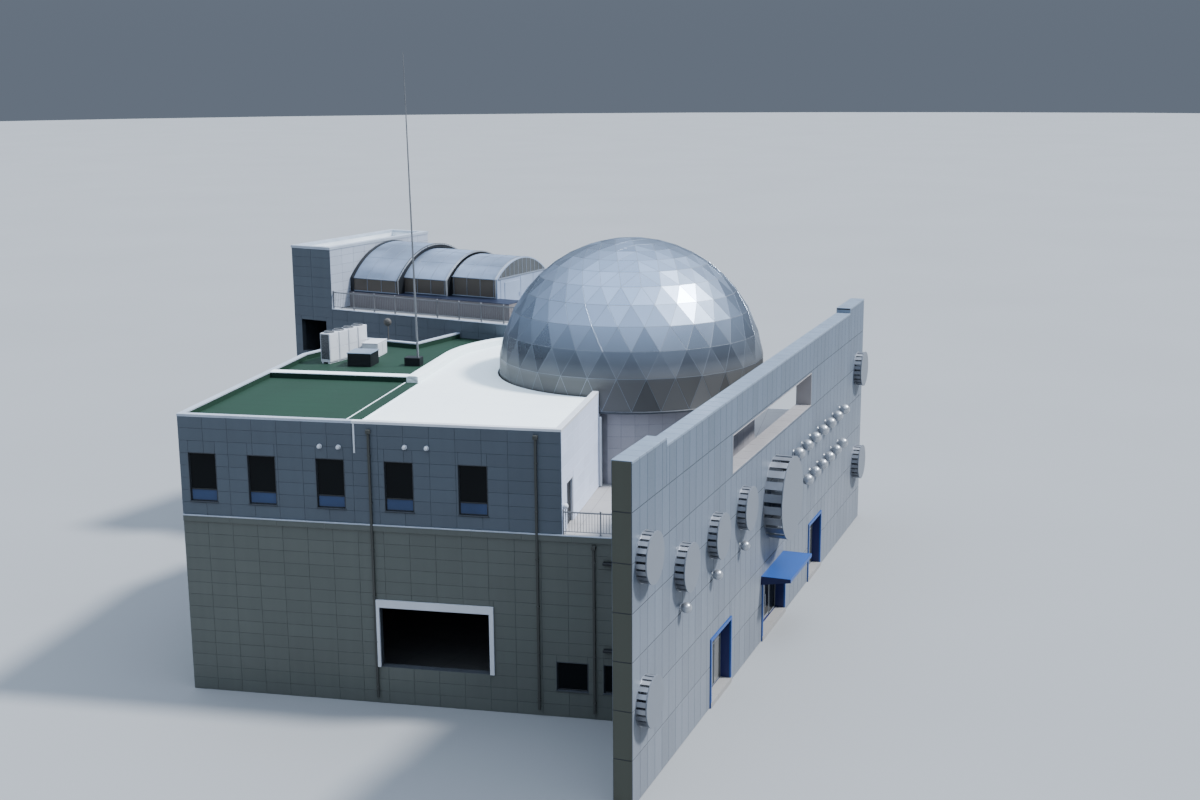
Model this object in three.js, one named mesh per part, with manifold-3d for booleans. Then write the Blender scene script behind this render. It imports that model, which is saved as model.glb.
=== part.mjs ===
// Science hall with a panelled dome, a tall screen wall, and a deck with a telescoping vaulted roof.
// It is a half-size scale model. Each named length is the real building's, in metres, and m() turns
// it into the model's millimetres. X runs along the screen wall, Y goes to the rear and Z is up.
import * as THREE from 'three';
import { mergeVertices } from 'three/addons/utils/BufferGeometryUtils.js';
import Module from 'manifold-3d';

const wasm = await Module();
wasm.setup();

// Scale and the small gap that neighbours keep, in real metres
const SCALE = 0.5;
const GAP = 0.0006;

// How far a cutting tool runs past its piece, how far glass laps behind a wall, and how thick it is
const OVERSHOOT = 1;
const LAP = 0.1;
const PANE = 0.03;

// Screen wall: X positions, heights and thickness
const WALL = {
  length: 42.85, thick: 0.8, top: 13.9, bookendTop: 14.2, bookend: 4.1,
  openingLeft: 13.65, openingRight: 29.0, openingSill: 10.25, openingHead: 12.1,
};
const PORTAL_1 = { left: 10.3, right: 13.65, head: 3.33 };
const ENTRANCE = { left: 19.2, right: 23.9, head: 3.1 };
const PORTAL_2 = { left: 29.0, right: 32.1, head: 3.38 };
const LINER = { jamb: 0.14, sill: 0.25, proud: 0.08, lap: 0.05 };
const CANOPY = { left: 19.0, right: 23.45, reach: 1.55, thick: 0.45, edge: 0.18 };

// Louvred drums on the screen wall: centre, radius and how far each stands out
const LOUVRE_DRUMS = [
  { x: 1.38, z: 10.05, r: 1.07, reach: 0.5 },
  { x: 6.13, z: 8.15, r: 1.07, reach: 0.5 },
  { x: 10.77, z: 8.15, r: 1.07, reach: 0.5 },
  { x: 15.43, z: 8.15, r: 1.07, reach: 0.5 },
  { x: 21.3, z: 7.13, r: 2.16, reach: 1.0 },
  { x: 1.38, z: 4.05, r: 1.07, reach: 0.5 },
  { x: 41.3, z: 10.05, r: 1.07, reach: 0.5 },
  { x: 41.3, z: 4.05, r: 1.07, reach: 0.5 },
];
const LOUVRE = { disc: 0.05, ring: 0.05, rim: 0.12, slats: 21, slatShare: 0.64, slatDepth: 0.05, hub: 0.3 };

// Main block, in its own axes: u from the camera side to the rear, v across, turned from X
const MAIN_TURN = THREE.MathUtils.degToRad(9.54);
const MAIN = {
  front: 8.03, far: 34.65, right: 4.6, left: 22.6, wall: 0.35,
  groundFloor: 0.25, floor: 8.6, slab: 0.3, roof: 13.05, curb: 0.3, curbWidth: 0.25, farCurb: 3, ledge: 0.06,
};

// Where the white roof meets the green one, the hall's round end, and the chamfered rear-left corner
const ROOF_SPLIT = { front: 14.2, rear: 14.95, cross: 17.95, crossWidth: 0.6 };
const HALL_ARC = { u: 24.5, v: 6.35 };
const LEFT_CORNER = {
  fasciaV: 16.2, start: 23.0, edge: [[27.3, 17.5], [28.3, 20.8]],
};
const UPPER_WINDOW = { width: 1.32, sill: 9.27, head: 11.56, centres: [8.62, 12.06, 15.3, 18.6, 21.5] };
const SIDE_WINDOW_CENTRES = [11.5, 15.0, 18.5, 22.0];
const LOWER_WINDOW = { width: 1.42, sill: 1.29, head: 2.62, centres: [2.04, 4.2] };
const GARAGE = { right: 8.0, left: 13.2, sill: 1.8, head: 4.69, beam: 0.35, post: 0.2, proud: 0.12 };
const TERRACE_DOOR = { near: 9.05, far: 10.25, head: 10.65, setBack: 0.1, thick: 0.06 };

// Dome over the round theatre, in the main block's axes
const DOME = {
  u: 23.07, v: 4.26, r: 6.98, thick: 0.12, equator: 13.05, roofClearance: 0.05, boreSides: 72,
};
const RING_COLATITUDES = [0, 7, 13.5, 20.2, 27.5, 35, 43.2, 52, 61.5, 71.6, 82.5, 95.7];
const DOME_SECTORS = 5;
const CAP_RINGS = 6;
const DOME_TURN = THREE.MathUtils.degToRad(206 - 9.54);
const THEATRE = { r: 6.5, wall: 0.3, segments: 60, baseRing: 0.12, ringInset: 0.03 };

// Rear block, in its own axes: x away from the camera side, y across, turned the other way
const REAR_TURN = THREE.MathUtils.degToRad(-8.4);
const REAR = { front: 24.37, back: 34.6, right: 18.5, towerRight: 34.2, left: 37.2, wall: 0.35 };
const DECK = { top: 14.0, slab: 0.3, kerb: 0.1, kerbWidth: 0.3 };
const TOWER = { top: 17.87, roof: 17.35, slab: 0.25 };
const UNDERCROFT = { right: 34.7, left: 36.65, sill: 11.3, head: 13.3 };
const TRACK = { near: 26.1, width: 1.6, top: 15.0, axis: 30.3, end: 22.3 };
const VAULT = { thick: 0.08, springThick: 0.02, steps: 16 };
const VAULT_SECTIONS = [
  { name: 'vault_section_1', half: 4.05, spring: 15.85, crown: 17.7, from: 30.5, to: 34.15 },
  { name: 'vault_section_2', half: 3.3, spring: 15.98, crown: 17.42, from: 27.35, to: 30.8 },
  { name: 'vault_section_3', half: 2.8, spring: 16.17, crown: 17.25, from: 24.1, to: 27.4 },
];
const GABLE = { thick: 0.08, overDeck: 0.03, trackGap: 0.05 };

// Railings, roof plant and the entrance screen
const RAIL = { height: 1.05, post: 0.06, every: 1.6, low: 0.12, clear: 0.01, fromWall: 0.05, inset: 0.1 };
const COOLER = {
  u: 21.95, v: 20.6, width: 0.8, depth: 0.62, height: 1.65, count: 4, between: 0.06, skid: 0.1,
  skidInset: 0.05, seat: 0.01,
};
const COOLER_TURN = THREE.MathUtils.degToRad(-16);
const PLANT_BOX = { u: 21.5, v: 18.15, width: 1.3, depth: 1.3, height: 0.7 };
const CABINET = { u: 24.2, v: 18.7, width: 1.5, depth: 0.9, height: 0.75 };
const MAST = { u: 22.22, v: 15.72, height: 16.3, foot: 0.065, tip: 0.022 };
const MAST_LEAN = THREE.MathUtils.degToRad(1);
const MAST_BOX = { u: 22.1, v: 15.6, width: 0.6, depth: 0.85, height: 0.45 };
const SCREEN = {
  near: 0.5, thick: 0.08, door: 0.95, doorHead: 2.45, doorGap: 0.03, leaf: 0.05, pin: 0.012, pinLap: 0.05,
};

const m = (metres) => metres * 1000 * SCALE;

const COLOURS = {
  panel: 0x8893a0, dark: 0x4a545c, facade: 0x5f6b78, blue: 0x2f6fc4, roof: 0xe4e8ee, green: 0x4a6e63,
  silver: 0xaab4c2, glass: 0x22282e, tile: 0x8b8790, white: 0xd8dce2, rail: 0x8a9096, clear: 0x9fb0c4,
};
const material = (colour, roughness = 0.6, metalness = 0.1) =>
  new THREE.MeshStandardMaterial({ color: COLOURS[colour], roughness, metalness });

const building = new THREE.Group();
const mainBlock = new THREE.Group();
mainBlock.rotation.z = MAIN_TURN;
const rearBlock = new THREE.Group();
rearBlock.rotation.z = REAR_TURN;
building.add(mainBlock, rearBlock);

function addPiece(group, name, geometry, colour, roughness, metalness) {
  const mesh = new THREE.Mesh(geometry, material(colour, roughness, metalness));
  mesh.name = name;
  group.add(mesh);
  return mesh;
}

// A box between two corners given in real metres
function box(x0, x1, y0, y1, z0, z1) {
  const geometry = new THREE.BoxGeometry(m(x1 - x0), m(y1 - y0), m(z1 - z0));
  geometry.translate(m((x0 + x1) / 2), m((y0 + y1) / 2), m((z0 + z1) / 2));
  return geometry;
}

function shapeOf(points) {
  return new THREE.Shape(points.map(([x, y]) => new THREE.Vector2(m(x), m(y))));
}

function rectangle(x0, x1, y0, y1) {
  return [[x0, y0], [x1, y0], [x1, y1], [x0, y1]];
}

// A plan outline carried up from z0 to z1
function prism(points, z0, z1) {
  const geometry = new THREE.ExtrudeGeometry(shapeOf(points), { depth: m(z1 - z0), bevelEnabled: false });
  geometry.translate(0, 0, m(z0));
  return geometry;
}

function standing(y0, y1, outline) {
  const geometry = new THREE.ExtrudeGeometry(shapeOf(outline), { depth: m(y1 - y0), bevelEnabled: false });
  geometry.rotateX(Math.PI / 2);
  geometry.translate(0, m(y1), 0);
  return geometry;
}

// An upright wall along the first axis, between y0 and y1, with its outline and holes drawn in elevation
function wallAlongX(y0, y1, outline, holes = []) {
  const wall = standing(y0, y1, outline);
  const tools = holes.map((hole) => standing(y0 - OVERSHOOT, y1 + OVERSHOOT, hole));
  return tools.length ? cut(wall, ...tools) : wall;
}

// The same along the second axis, between x0 and x1
function wallAlongY(x0, x1, outline, holes = []) {
  const geometry = wallAlongX(x0 - x1, 0, outline, holes);
  geometry.rotateZ(Math.PI / 2);
  geometry.translate(m(x0), 0, 0);
  return geometry;
}

// A closed profile of radius and height, turned about an upright axis
function turned(u, v, profile, segments) {
  const points = [...profile, profile[0]].map(([r, z]) => new THREE.Vector2(m(r), m(z)));
  const geometry = new THREE.LatheGeometry(points, segments);
  geometry.rotateX(Math.PI / 2);
  geometry.translate(m(u), m(v), 0);
  return geometry;
}

function toSolid(geometry) {
  const bare = geometry.clone();
  bare.deleteAttribute('normal');
  bare.deleteAttribute('uv');
  const merged = mergeVertices(bare, 0.01);
  const triVerts = Uint32Array.from(merged.index.array);
  const vertProperties = Float32Array.from(merged.attributes.position.array);
  return new wasm.Manifold(new wasm.Mesh({ numProp: 3, vertProperties, triVerts }));
}

function toGeometry(solid) {
  const mesh = solid.getMesh();
  const geometry = new THREE.BufferGeometry();
  geometry.setAttribute('position', new THREE.BufferAttribute(mesh.vertProperties, 3));
  geometry.setIndex(new THREE.BufferAttribute(mesh.triVerts, 1));
  return geometry;
}

const join = (...geometries) => toGeometry(geometries.map(toSolid).reduce((all, one) => all.add(one)));
const cut = (geometry, ...tools) => {
  const rest = tools.map(toSolid).reduce((all, one) => all.subtract(one), toSolid(geometry));
  return toGeometry(rest);
};

// Height of the dome's lowest ring of corners, and of the underside of the ring it stands on
const LOWEST_COLATITUDE = THREE.MathUtils.degToRad(RING_COLATITUDES[RING_COLATITUDES.length - 1]);
const DOME_FOOT = DOME.equator + DOME.r * Math.cos(LOWEST_COLATITUDE);
const DOME_RING_LOW = DOME_FOOT - GAP - THEATRE.baseRing;

// Room kept round the dome, from a given height upwards
function domeBore(z0) {
  const radius = m(DOME.r + DOME.roofClearance);
  const height = DOME.r + OVERSHOOT;
  const bore = new THREE.CylinderGeometry(radius, radius, m(height), DOME.boreSides);
  bore.rotateX(Math.PI / 2);
  bore.translate(m(DOME.u), m(DOME.v), m(z0 + height / 2));
  return bore;
}

// Where the screen wall's back face crosses the main block, as v for a given u
const backOfScreen = (u) => (WALL.thick + GAP - u * Math.sin(MAIN_TURN)) / Math.cos(MAIN_TURN);

// A point of the rear block in the main block's axes
function rearInMain(x, y) {
  const point = new THREE.Vector2(x, y).rotateAround(new THREE.Vector2(), REAR_TURN - MAIN_TURN);
  return [point.x, point.y];
}

// The point on a straight line through a and b at a given first or second coordinate
const alongAtU = (a, b, u) => [u, a[1] + ((u - a[0]) / (b[0] - a[0])) * (b[1] - a[1])];
const alongAtV = (a, b, v) => [a[0] + ((v - a[1]) / (b[1] - a[1])) * (b[0] - a[0]), v];

function arcPoints(u, v, r, fromAngle, toAngle, steps) {
  return Array.from({ length: steps + 1 }, (_, i) => {
    const angle = fromAngle + ((toAngle - fromAngle) * i) / steps;
    return [u + r * Math.cos(angle), v + r * Math.sin(angle)];
  });
}

// Corners that the main block shares with the rear block
const REAR_CLEAR = 2 * GAP;
const rearCorner = rearInMain(REAR.front - REAR_CLEAR, REAR.right - REAR_CLEAR);
const rearFrontFar = rearInMain(REAR.front - REAR_CLEAR, REAR.left);
const rearSideFar = rearInMain(REAR.back, REAR.right - REAR_CLEAR);
const farRearCorner = alongAtU(rearCorner, rearSideFar, MAIN.far);
const arcCentre = [HALL_ARC.u, HALL_ARC.v];
const HALL_ARC_RADIUS = ROOF_SPLIT.rear - HALL_ARC.v;

// Angle on the hall's round end at which it meets the front of the rear block
function arcEndAngle() {
  const along = new THREE.Vector2(rearFrontFar[0] - rearCorner[0], rearFrontFar[1] - rearCorner[1]);
  along.normalize();
  const offset = new THREE.Vector2(rearCorner[0] - arcCentre[0], rearCorner[1] - arcCentre[1]);
  const half = offset.dot(along);
  const distance = -half + Math.sqrt(half * half - offset.lengthSq() + HALL_ARC_RADIUS ** 2);
  const point = offset.addScaledVector(along, distance);
  return Math.atan2(point.y, point.x);
}
const ARC_END = arcEndAngle();
const ARC_STEPS = 10;
const hallArc = (radius) => arcPoints(...arcCentre, radius, ARC_END, Math.PI / 2, ARC_STEPS);

// Where the line through a and b crosses the line through c and d
function crossing(a, b, c, d) {
  const across = (b[0] - a[0]) * (d[1] - c[1]) - (b[1] - a[1]) * (d[0] - c[0]);
  const share = ((c[0] - a[0]) * (d[1] - c[1]) - (c[1] - a[1]) * (d[0] - c[0])) / across;
  return [a[0] + share * (b[0] - a[0]), a[1] + share * (b[1] - a[1])];
}

// The rear-left edge from the rear block's front to where the straight left side starts, moved inwards
function leftEdge(inset) {
  const fasciaEnd = alongAtV(rearCorner, rearFrontFar, LEFT_CORNER.fasciaV);
  const outer = [fasciaEnd, ...LEFT_CORNER.edge, [LEFT_CORNER.start, MAIN.left], [MAIN.front, MAIN.left]];
  const sides = outer.slice(1).map((to, i) => {
    const from = outer[i];
    const length = Math.hypot(to[0] - from[0], to[1] - from[1]);
    const shift = [(-(to[1] - from[1]) * inset) / length, ((to[0] - from[0]) * inset) / length];
    return [from, to].map(([u, v]) => [u + shift[0], v + shift[1]]);
  });
  const corners = sides.slice(1).map((side, i) => crossing(...sides[i], ...side));
  return [crossing(...sides[0], rearCorner, rearFrontFar), ...corners];
}

function buildScreenWall() {
  const depth = WALL.thick;
  const half = GAP / 2;
  const nearEnd = [
    [0, 0], [PORTAL_1.left - GAP, 0], [PORTAL_1.left - GAP, PORTAL_1.head],
    [PORTAL_1.right - half, PORTAL_1.head], [PORTAL_1.right - half, WALL.top], [WALL.bookend, WALL.top],
    [WALL.bookend, WALL.bookendTop], [0, WALL.bookendTop],
  ];
  const farBookend = WALL.length - WALL.bookend;
  const farEnd = [
    [PORTAL_2.right + GAP, 0], [WALL.length, 0], [WALL.length, WALL.bookendTop],
    [farBookend, WALL.bookendTop], [farBookend, WALL.top], [PORTAL_2.left + half, WALL.top],
    [PORTAL_2.left + half, PORTAL_2.head], [PORTAL_2.right + GAP, PORTAL_2.head],
  ];
  addPiece(building, 'screen_wall_near', wallAlongX(0, depth, nearEnd), 'panel');
  addPiece(building, 'screen_wall_far', wallAlongX(0, depth, farEnd), 'panel');
  const plain = [
    ['screen_wall_left_of_entrance', WALL.openingLeft, ENTRANCE.left, 0, WALL.openingSill],
    ['screen_wall_over_entrance', ENTRANCE.left, ENTRANCE.right, ENTRANCE.head, WALL.openingSill],
    ['screen_wall_right_of_entrance', ENTRANCE.right, WALL.openingRight, 0, WALL.openingSill],
    ['screen_wall_over_opening', WALL.openingLeft, WALL.openingRight, WALL.openingHead, WALL.top],
  ];
  plain.forEach(([name, left, right, low, high]) => {
    addPiece(building, name, box(left + half, right - half, 0, depth, low, high), 'panel');
  });
}

function buildPortalLiners() {
  const portals = [
    ['portal_liner_1', PORTAL_1], ['entrance_liner', ENTRANCE], ['portal_liner_2', PORTAL_2],
  ];
  portals.forEach(([name, portal]) => {
    const left = portal.left + GAP;
    const right = portal.right - GAP;
    const head = portal.head - GAP;
    const outline = rectangle(left, right, 0, head);
    const hole = rectangle(left + LINER.jamb, right - LINER.jamb, LINER.sill, head - LINER.jamb);
    const liner = wallAlongX(-LINER.proud, WALL.thick, outline, [hole]);
    if (name === 'entrance_liner') {
      addPiece(building, name, liner, 'blue');
      return;
    }
    const back = SCREEN.near + SCREEN.thick;
    const pane = box(left, right, SCREEN.near, back, LINER.sill - 3 * LINER.lap, head - LINER.lap);
    addPiece(building, name, join(liner, pane), 'blue');
  });
}

function hingePin(x, z0, z1) {
  const pin = new THREE.CylinderGeometry(m(SCREEN.pin), m(SCREEN.pin), m(z1 - z0), 16);
  pin.rotateX(Math.PI / 2);
  pin.translate(m(x), m(SCREEN.near), m((z0 + z1) / 2));
  return pin;
}

function buildEntrance() {
  const left = ENTRANCE.left + LINER.jamb + 2 * GAP;
  const right = ENTRANCE.right - LINER.jamb - 2 * GAP;
  const low = LINER.sill + GAP;
  const high = ENTRANCE.head - LINER.jamb - 2 * GAP;
  const middle = (left + right) / 2;
  const reach = SCREEN.door + 1.5 * SCREEN.doorGap;
  const doorway = [
    [left, low], [middle - reach, low], [middle - reach, SCREEN.doorHead],
    [middle + reach, SCREEN.doorHead], [middle + reach, low], [right, low], [right, high], [left, high],
  ];
  const screen = wallAlongX(SCREEN.near, SCREEN.near + SCREEN.thick, doorway);
  addPiece(building, 'entrance_screen', screen, 'glass', 0.2);
  const leafLow = low + SCREEN.doorGap / 2;
  const leafHigh = SCREEN.doorHead - SCREEN.doorGap / 2;
  const inner = SCREEN.doorGap / 2;
  [['entrance_door_left', -1], ['entrance_door_right', 1]].forEach(([name, side]) => {
    const a = middle + side * inner;
    const b = middle + side * (inner + SCREEN.door);
    const back = SCREEN.near + SCREEN.leaf;
    const leaf = box(Math.min(a, b), Math.max(a, b), SCREEN.near, back, leafLow, leafHigh);
    const footPin = hingePin(b, low, leafLow + SCREEN.pinLap);
    const headPin = hingePin(b, leafHigh - SCREEN.pinLap, SCREEN.doorHead - GAP);
    addPiece(building, name, join(leaf, footPin, headPin), 'glass', 0.2);
  });
  const canopyLow = ENTRANCE.head + GAP;
  const canopyTop = canopyLow + CANOPY.thick;
  const wedge = [
    [-CANOPY.reach, canopyTop - CANOPY.edge], [-GAP, canopyLow], [-GAP, canopyTop],
    [-CANOPY.reach, canopyTop],
  ];
  const canopy = wallAlongY(CANOPY.left, CANOPY.right, wedge);
  addPiece(building, 'entrance_canopy', canopy, 'blue', 0.5);
}

// A disc in front of the wall, carried by a hub, with slats round its rim back to a ring on the wall
function louvreDrum({ x, z, r, reach }) {
  const disc = new THREE.CylinderGeometry(m(r), m(r), m(LOUVRE.disc), 40);
  disc.translate(0, m(-reach + LOUVRE.disc / 2), 0);
  const hubLength = reach - LOUVRE.disc / 2 - GAP;
  const hub = new THREE.CylinderGeometry(m(r * LOUVRE.hub), m(r * LOUVRE.hub), m(hubLength), 20);
  hub.translate(0, m(-GAP - hubLength / 2), 0);
  const bore = r - LOUVRE.rim;
  const ringProfile = [[bore, -LOUVRE.ring], [r, -LOUVRE.ring], [r, -GAP], [bore, -GAP]];
  const ringPoints = [...ringProfile, ringProfile[0]].map(([a, b]) => new THREE.Vector2(m(a), m(b)));
  const pieces = [disc, hub, new THREE.LatheGeometry(ringPoints, 40)];
  const slatWidth = (2 * Math.PI * r * LOUVRE.slatShare) / LOUVRE.slats;
  const slatLength = reach - LOUVRE.ring / 2 - LOUVRE.disc / 2;
  for (let i = 0; i < LOUVRE.slats; i += 1) {
    const slat = new THREE.BoxGeometry(m(slatWidth), m(slatLength), m(LOUVRE.slatDepth));
    slat.translate(0, m(-LOUVRE.ring / 2 - slatLength / 2), m(r - LOUVRE.rim / 2));
    slat.rotateY((2 * Math.PI * (i + 0.5)) / LOUVRE.slats);
    pieces.push(slat);
  }
  const geometry = join(...pieces);
  geometry.translate(m(x), 0, m(z));
  return geometry;
}

function buildLouvreDrums() {
  LOUVRE_DRUMS.forEach((drum, i) => {
    addPiece(building, `louvre_drum_${i + 1}`, louvreDrum(drum), 'silver', 0.4, 0.6);
  });
}

function windowHoles(window, centres) {
  const half = window.width / 2;
  return centres.map((c) => rectangle(c - half, c + half, window.sill, window.head));
}

function buildLowerStorey() {
  const floorLow = MAIN.floor - MAIN.slab;
  const top = floorLow - GAP;
  const nearEnd = backOfScreen(MAIN.front) + GAP;
  const garage = rectangle(GARAGE.right, GARAGE.left, GARAGE.sill, GARAGE.head);
  const holes = [garage, ...windowHoles(LOWER_WINDOW, LOWER_WINDOW.centres)];
  const outline = rectangle(nearEnd, MAIN.left, 0, top);
  const facade = wallAlongY(MAIN.front, MAIN.front + MAIN.wall, outline, holes);
  addPiece(mainBlock, 'lower_facade', facade, 'facade');
  const leftStart = MAIN.front + MAIN.wall + GAP;
  const leftWall = prism([
    ...leftEdge(0), [leftStart, MAIN.left], [leftStart, MAIN.left - MAIN.wall],
    ...leftEdge(MAIN.wall).reverse(),
  ], 0, top);
  addPiece(mainBlock, 'lower_left_wall', leftWall, 'facade');
  const farInner = MAIN.far - MAIN.wall;
  const farWall = prism([
    [farInner, backOfScreen(farInner)], [MAIN.far, backOfScreen(MAIN.far)], farRearCorner,
    alongAtU(rearCorner, rearSideFar, farInner),
  ], 0, top);
  addPiece(mainBlock, 'lower_far_wall', farWall, 'facade');

  const inner = MAIN.front + MAIN.wall + GAP;
  const innerFar = farInner - GAP;
  const wallClear = MAIN.wall + GAP;
  const groundOutline = [
    [inner, backOfScreen(inner)], [innerFar, backOfScreen(innerFar)],
    alongAtU(rearCorner, rearSideFar, innerFar), rearCorner, ...leftEdge(wallClear),
    [inner, MAIN.left - wallClear],
  ];
  addPiece(mainBlock, 'ground_floor', prism(groundOutline, 0, MAIN.groundFloor), 'tile');

  const slabFront = MAIN.front - MAIN.ledge;
  const floorOutline = [
    [slabFront, backOfScreen(slabFront)], [MAIN.far, backOfScreen(MAIN.far)], farRearCorner, rearCorner,
    ...leftEdge(0), [slabFront, MAIN.left],
  ];
  addPiece(mainBlock, 'upper_floor', prism(floorOutline, floorLow, MAIN.floor), 'roof');

  const { right, left, sill, head, beam, post } = GARAGE;
  const frame = [
    [right - post, sill], [right, sill], [right, head], [left, head], [left, sill], [left + post, sill],
    [left + post, head + beam], [right - post, head + beam],
  ];
  const frameWall = wallAlongY(MAIN.front - GARAGE.proud, MAIN.front - GAP, frame);
  addPiece(mainBlock, 'garage_frame', frameWall, 'white');

  const lowest = LOWER_WINDOW.sill - LAP;
  const glassRight = LOWER_WINDOW.centres[0] - LOWER_WINDOW.width;
  const glassLeft = LOWER_WINDOW.centres[1] + LOWER_WINDOW.width;
  const lowerGlass = box(inner, inner + PANE, glassRight, glassLeft, lowest, LOWER_WINDOW.head + LAP);
  addPiece(mainBlock, 'lower_glazing', lowerGlass, 'glass', 0.15);
}

function buildUpperStorey() {
  const low = MAIN.floor + GAP;
  const top = MAIN.roof - MAIN.slab - GAP;
  const outline = rectangle(MAIN.right, MAIN.left, low, top);
  const holes = windowHoles(UPPER_WINDOW, UPPER_WINDOW.centres);
  const facade = wallAlongY(MAIN.front, MAIN.front + MAIN.wall, outline, holes);
  addPiece(mainBlock, 'upper_facade', facade, 'facade');

  const inner = MAIN.front + MAIN.wall + GAP;
  const sideHoles = windowHoles(UPPER_WINDOW, SIDE_WINDOW_CENTRES);
  const leftOutline = rectangle(inner, LEFT_CORNER.start - 2 * GAP, low, top);
  const leftWall = wallAlongX(MAIN.left - MAIN.wall, MAIN.left, leftOutline, sideHoles);
  addPiece(mainBlock, 'upper_left_wall', leftWall, 'facade');
  const cornerStart = LEFT_CORNER.start - GAP;
  const cornerWall = prism([
    ...leftEdge(0), [cornerStart, MAIN.left], [cornerStart, MAIN.left - MAIN.wall],
    ...leftEdge(MAIN.wall).reverse(),
  ], low, top);
  addPiece(mainBlock, 'upper_corner_wall', cornerWall, 'facade');

  const meet = Math.sqrt((THEATRE.r + GAP) ** 2 - (MAIN.right - DOME.v) ** 2);
  const nearEnd = DOME.u - meet;
  const doorHole = [
    [inner, low], [TERRACE_DOOR.near, low], [TERRACE_DOOR.near, TERRACE_DOOR.head],
    [TERRACE_DOOR.far, TERRACE_DOOR.head], [TERRACE_DOOR.far, low], [nearEnd, low], [nearEnd, top],
    [inner, top],
  ];
  const rightWall = wallAlongX(MAIN.right, MAIN.right + MAIN.wall, doorHole);
  addPiece(mainBlock, 'upper_right_wall', cut(rightWall, domeBore(DOME_RING_LOW - GAP)), 'white');
  const leafFront = MAIN.right + TERRACE_DOOR.setBack;
  const door = box(
    TERRACE_DOOR.near + GAP, TERRACE_DOOR.far - GAP, leafFront, leafFront + TERRACE_DOOR.thick,
    low, TERRACE_DOOR.head - GAP,
  );
  addPiece(mainBlock, 'terrace_door', door, 'dark');

  const farStart = DOME.u + meet;
  const farInner = MAIN.far - MAIN.wall;
  const returnWall = prism([
    [farStart, MAIN.right], [MAIN.far, MAIN.right], farRearCorner,
    alongAtU(rearCorner, rearSideFar, farInner),
    [farInner, MAIN.right + MAIN.wall], [farStart, MAIN.right + MAIN.wall],
  ], low, top);
  addPiece(mainBlock, 'upper_far_wall', cut(returnWall, domeBore(DOME_RING_LOW - GAP)), 'facade');

  const first = UPPER_WINDOW.centres[0] - UPPER_WINDOW.width;
  const last = MAIN.left - MAIN.wall - GAP;
  const end = LEFT_CORNER.start - MAIN.wall;
  const glassLow = UPPER_WINDOW.sill - LAP;
  const glassHigh = UPPER_WINDOW.head + LAP;
  const frontGlass = box(inner, inner + PANE, first, last, glassLow, glassHigh);
  const sideGlass = box(inner, end, last - PANE, last, glassLow, glassHigh);
  addPiece(mainBlock, 'upper_glazing', join(frontGlass, sideGlass), 'glass', 0.15);
}

function buildRoofs() {
  const low = MAIN.roof - MAIN.slab;
  const curbTop = MAIN.roof + MAIN.curb;
  const width = MAIN.curbWidth;
  const front = MAIN.front;
  const { front: splitFront, rear: splitRear, cross, crossWidth } = ROOF_SPLIT;
  const outerRadius = HALL_ARC_RADIUS - GAP;
  const whiteOutline = [
    [front, MAIN.right], [MAIN.far, MAIN.right], farRearCorner, rearCorner, ...hallArc(outerRadius),
    [cross, splitRear - GAP], [cross, splitFront - GAP], [front, splitFront - GAP],
  ];
  const hallCurb = [
    ...hallArc(outerRadius), [cross, splitRear - GAP], [cross, splitRear - crossWidth],
    ...hallArc(HALL_ARC_RADIUS - crossWidth).reverse(),
  ];
  const whiteParts = [
    prism(whiteOutline, low, MAIN.roof),
    box(front, front + width, MAIN.right, splitFront - GAP, low, curbTop),
    box(front, DOME.u, MAIN.right, MAIN.right + width, low, curbTop),
    prism(hallCurb, low, curbTop),
    box(MAIN.far - width, MAIN.far, MAIN.right, MAIN.right + MAIN.farCurb, low, curbTop),
  ];
  const whiteRoof = cut(join(...whiteParts), domeBore(MAIN.roof - OVERSHOOT));
  addPiece(mainBlock, 'white_roof', whiteRoof, 'roof', 0.7, 0);

  const greenOutline = [
    [front, splitFront], [cross - GAP, splitFront], [cross - GAP, splitRear],
    ...hallArc(HALL_ARC_RADIUS).reverse(), ...leftEdge(0), [front, MAIN.left],
  ];
  const leftCurb = [
    ...leftEdge(0), [front, MAIN.left], [front, MAIN.left - width], ...leftEdge(width).reverse(),
  ];
  const greenParts = [
    prism(greenOutline, low, MAIN.roof),
    box(front, front + width, splitFront, MAIN.left, low, curbTop),
    prism(leftCurb, low, curbTop),
    box(cross, cross + crossWidth, splitRear, MAIN.left, low, curbTop),
  ];
  addPiece(mainBlock, 'green_roof', join(...greenParts), 'green', 0.9, 0);
}

// Points of one ring of the dome: the cap's rings grow by one panel a sector, the rest hold steady
function domeRing(index, radius) {
  const count = index === 0 ? 1 : DOME_SECTORS * Math.min(index, CAP_RINGS);
  const colatitude = THREE.MathUtils.degToRad(RING_COLATITUDES[index]);
  const stagger = index > CAP_RINGS && (index - CAP_RINGS) % 2 === 1 ? 0.5 : 0;
  return Array.from({ length: count }, (_, i) => {
    const angle = DOME_TURN + (2 * Math.PI * (i + stagger)) / count;
    const across = radius * Math.sin(colatitude);
    return [across * Math.cos(angle), across * Math.sin(angle), radius * Math.cos(colatitude)];
  });
}

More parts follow.
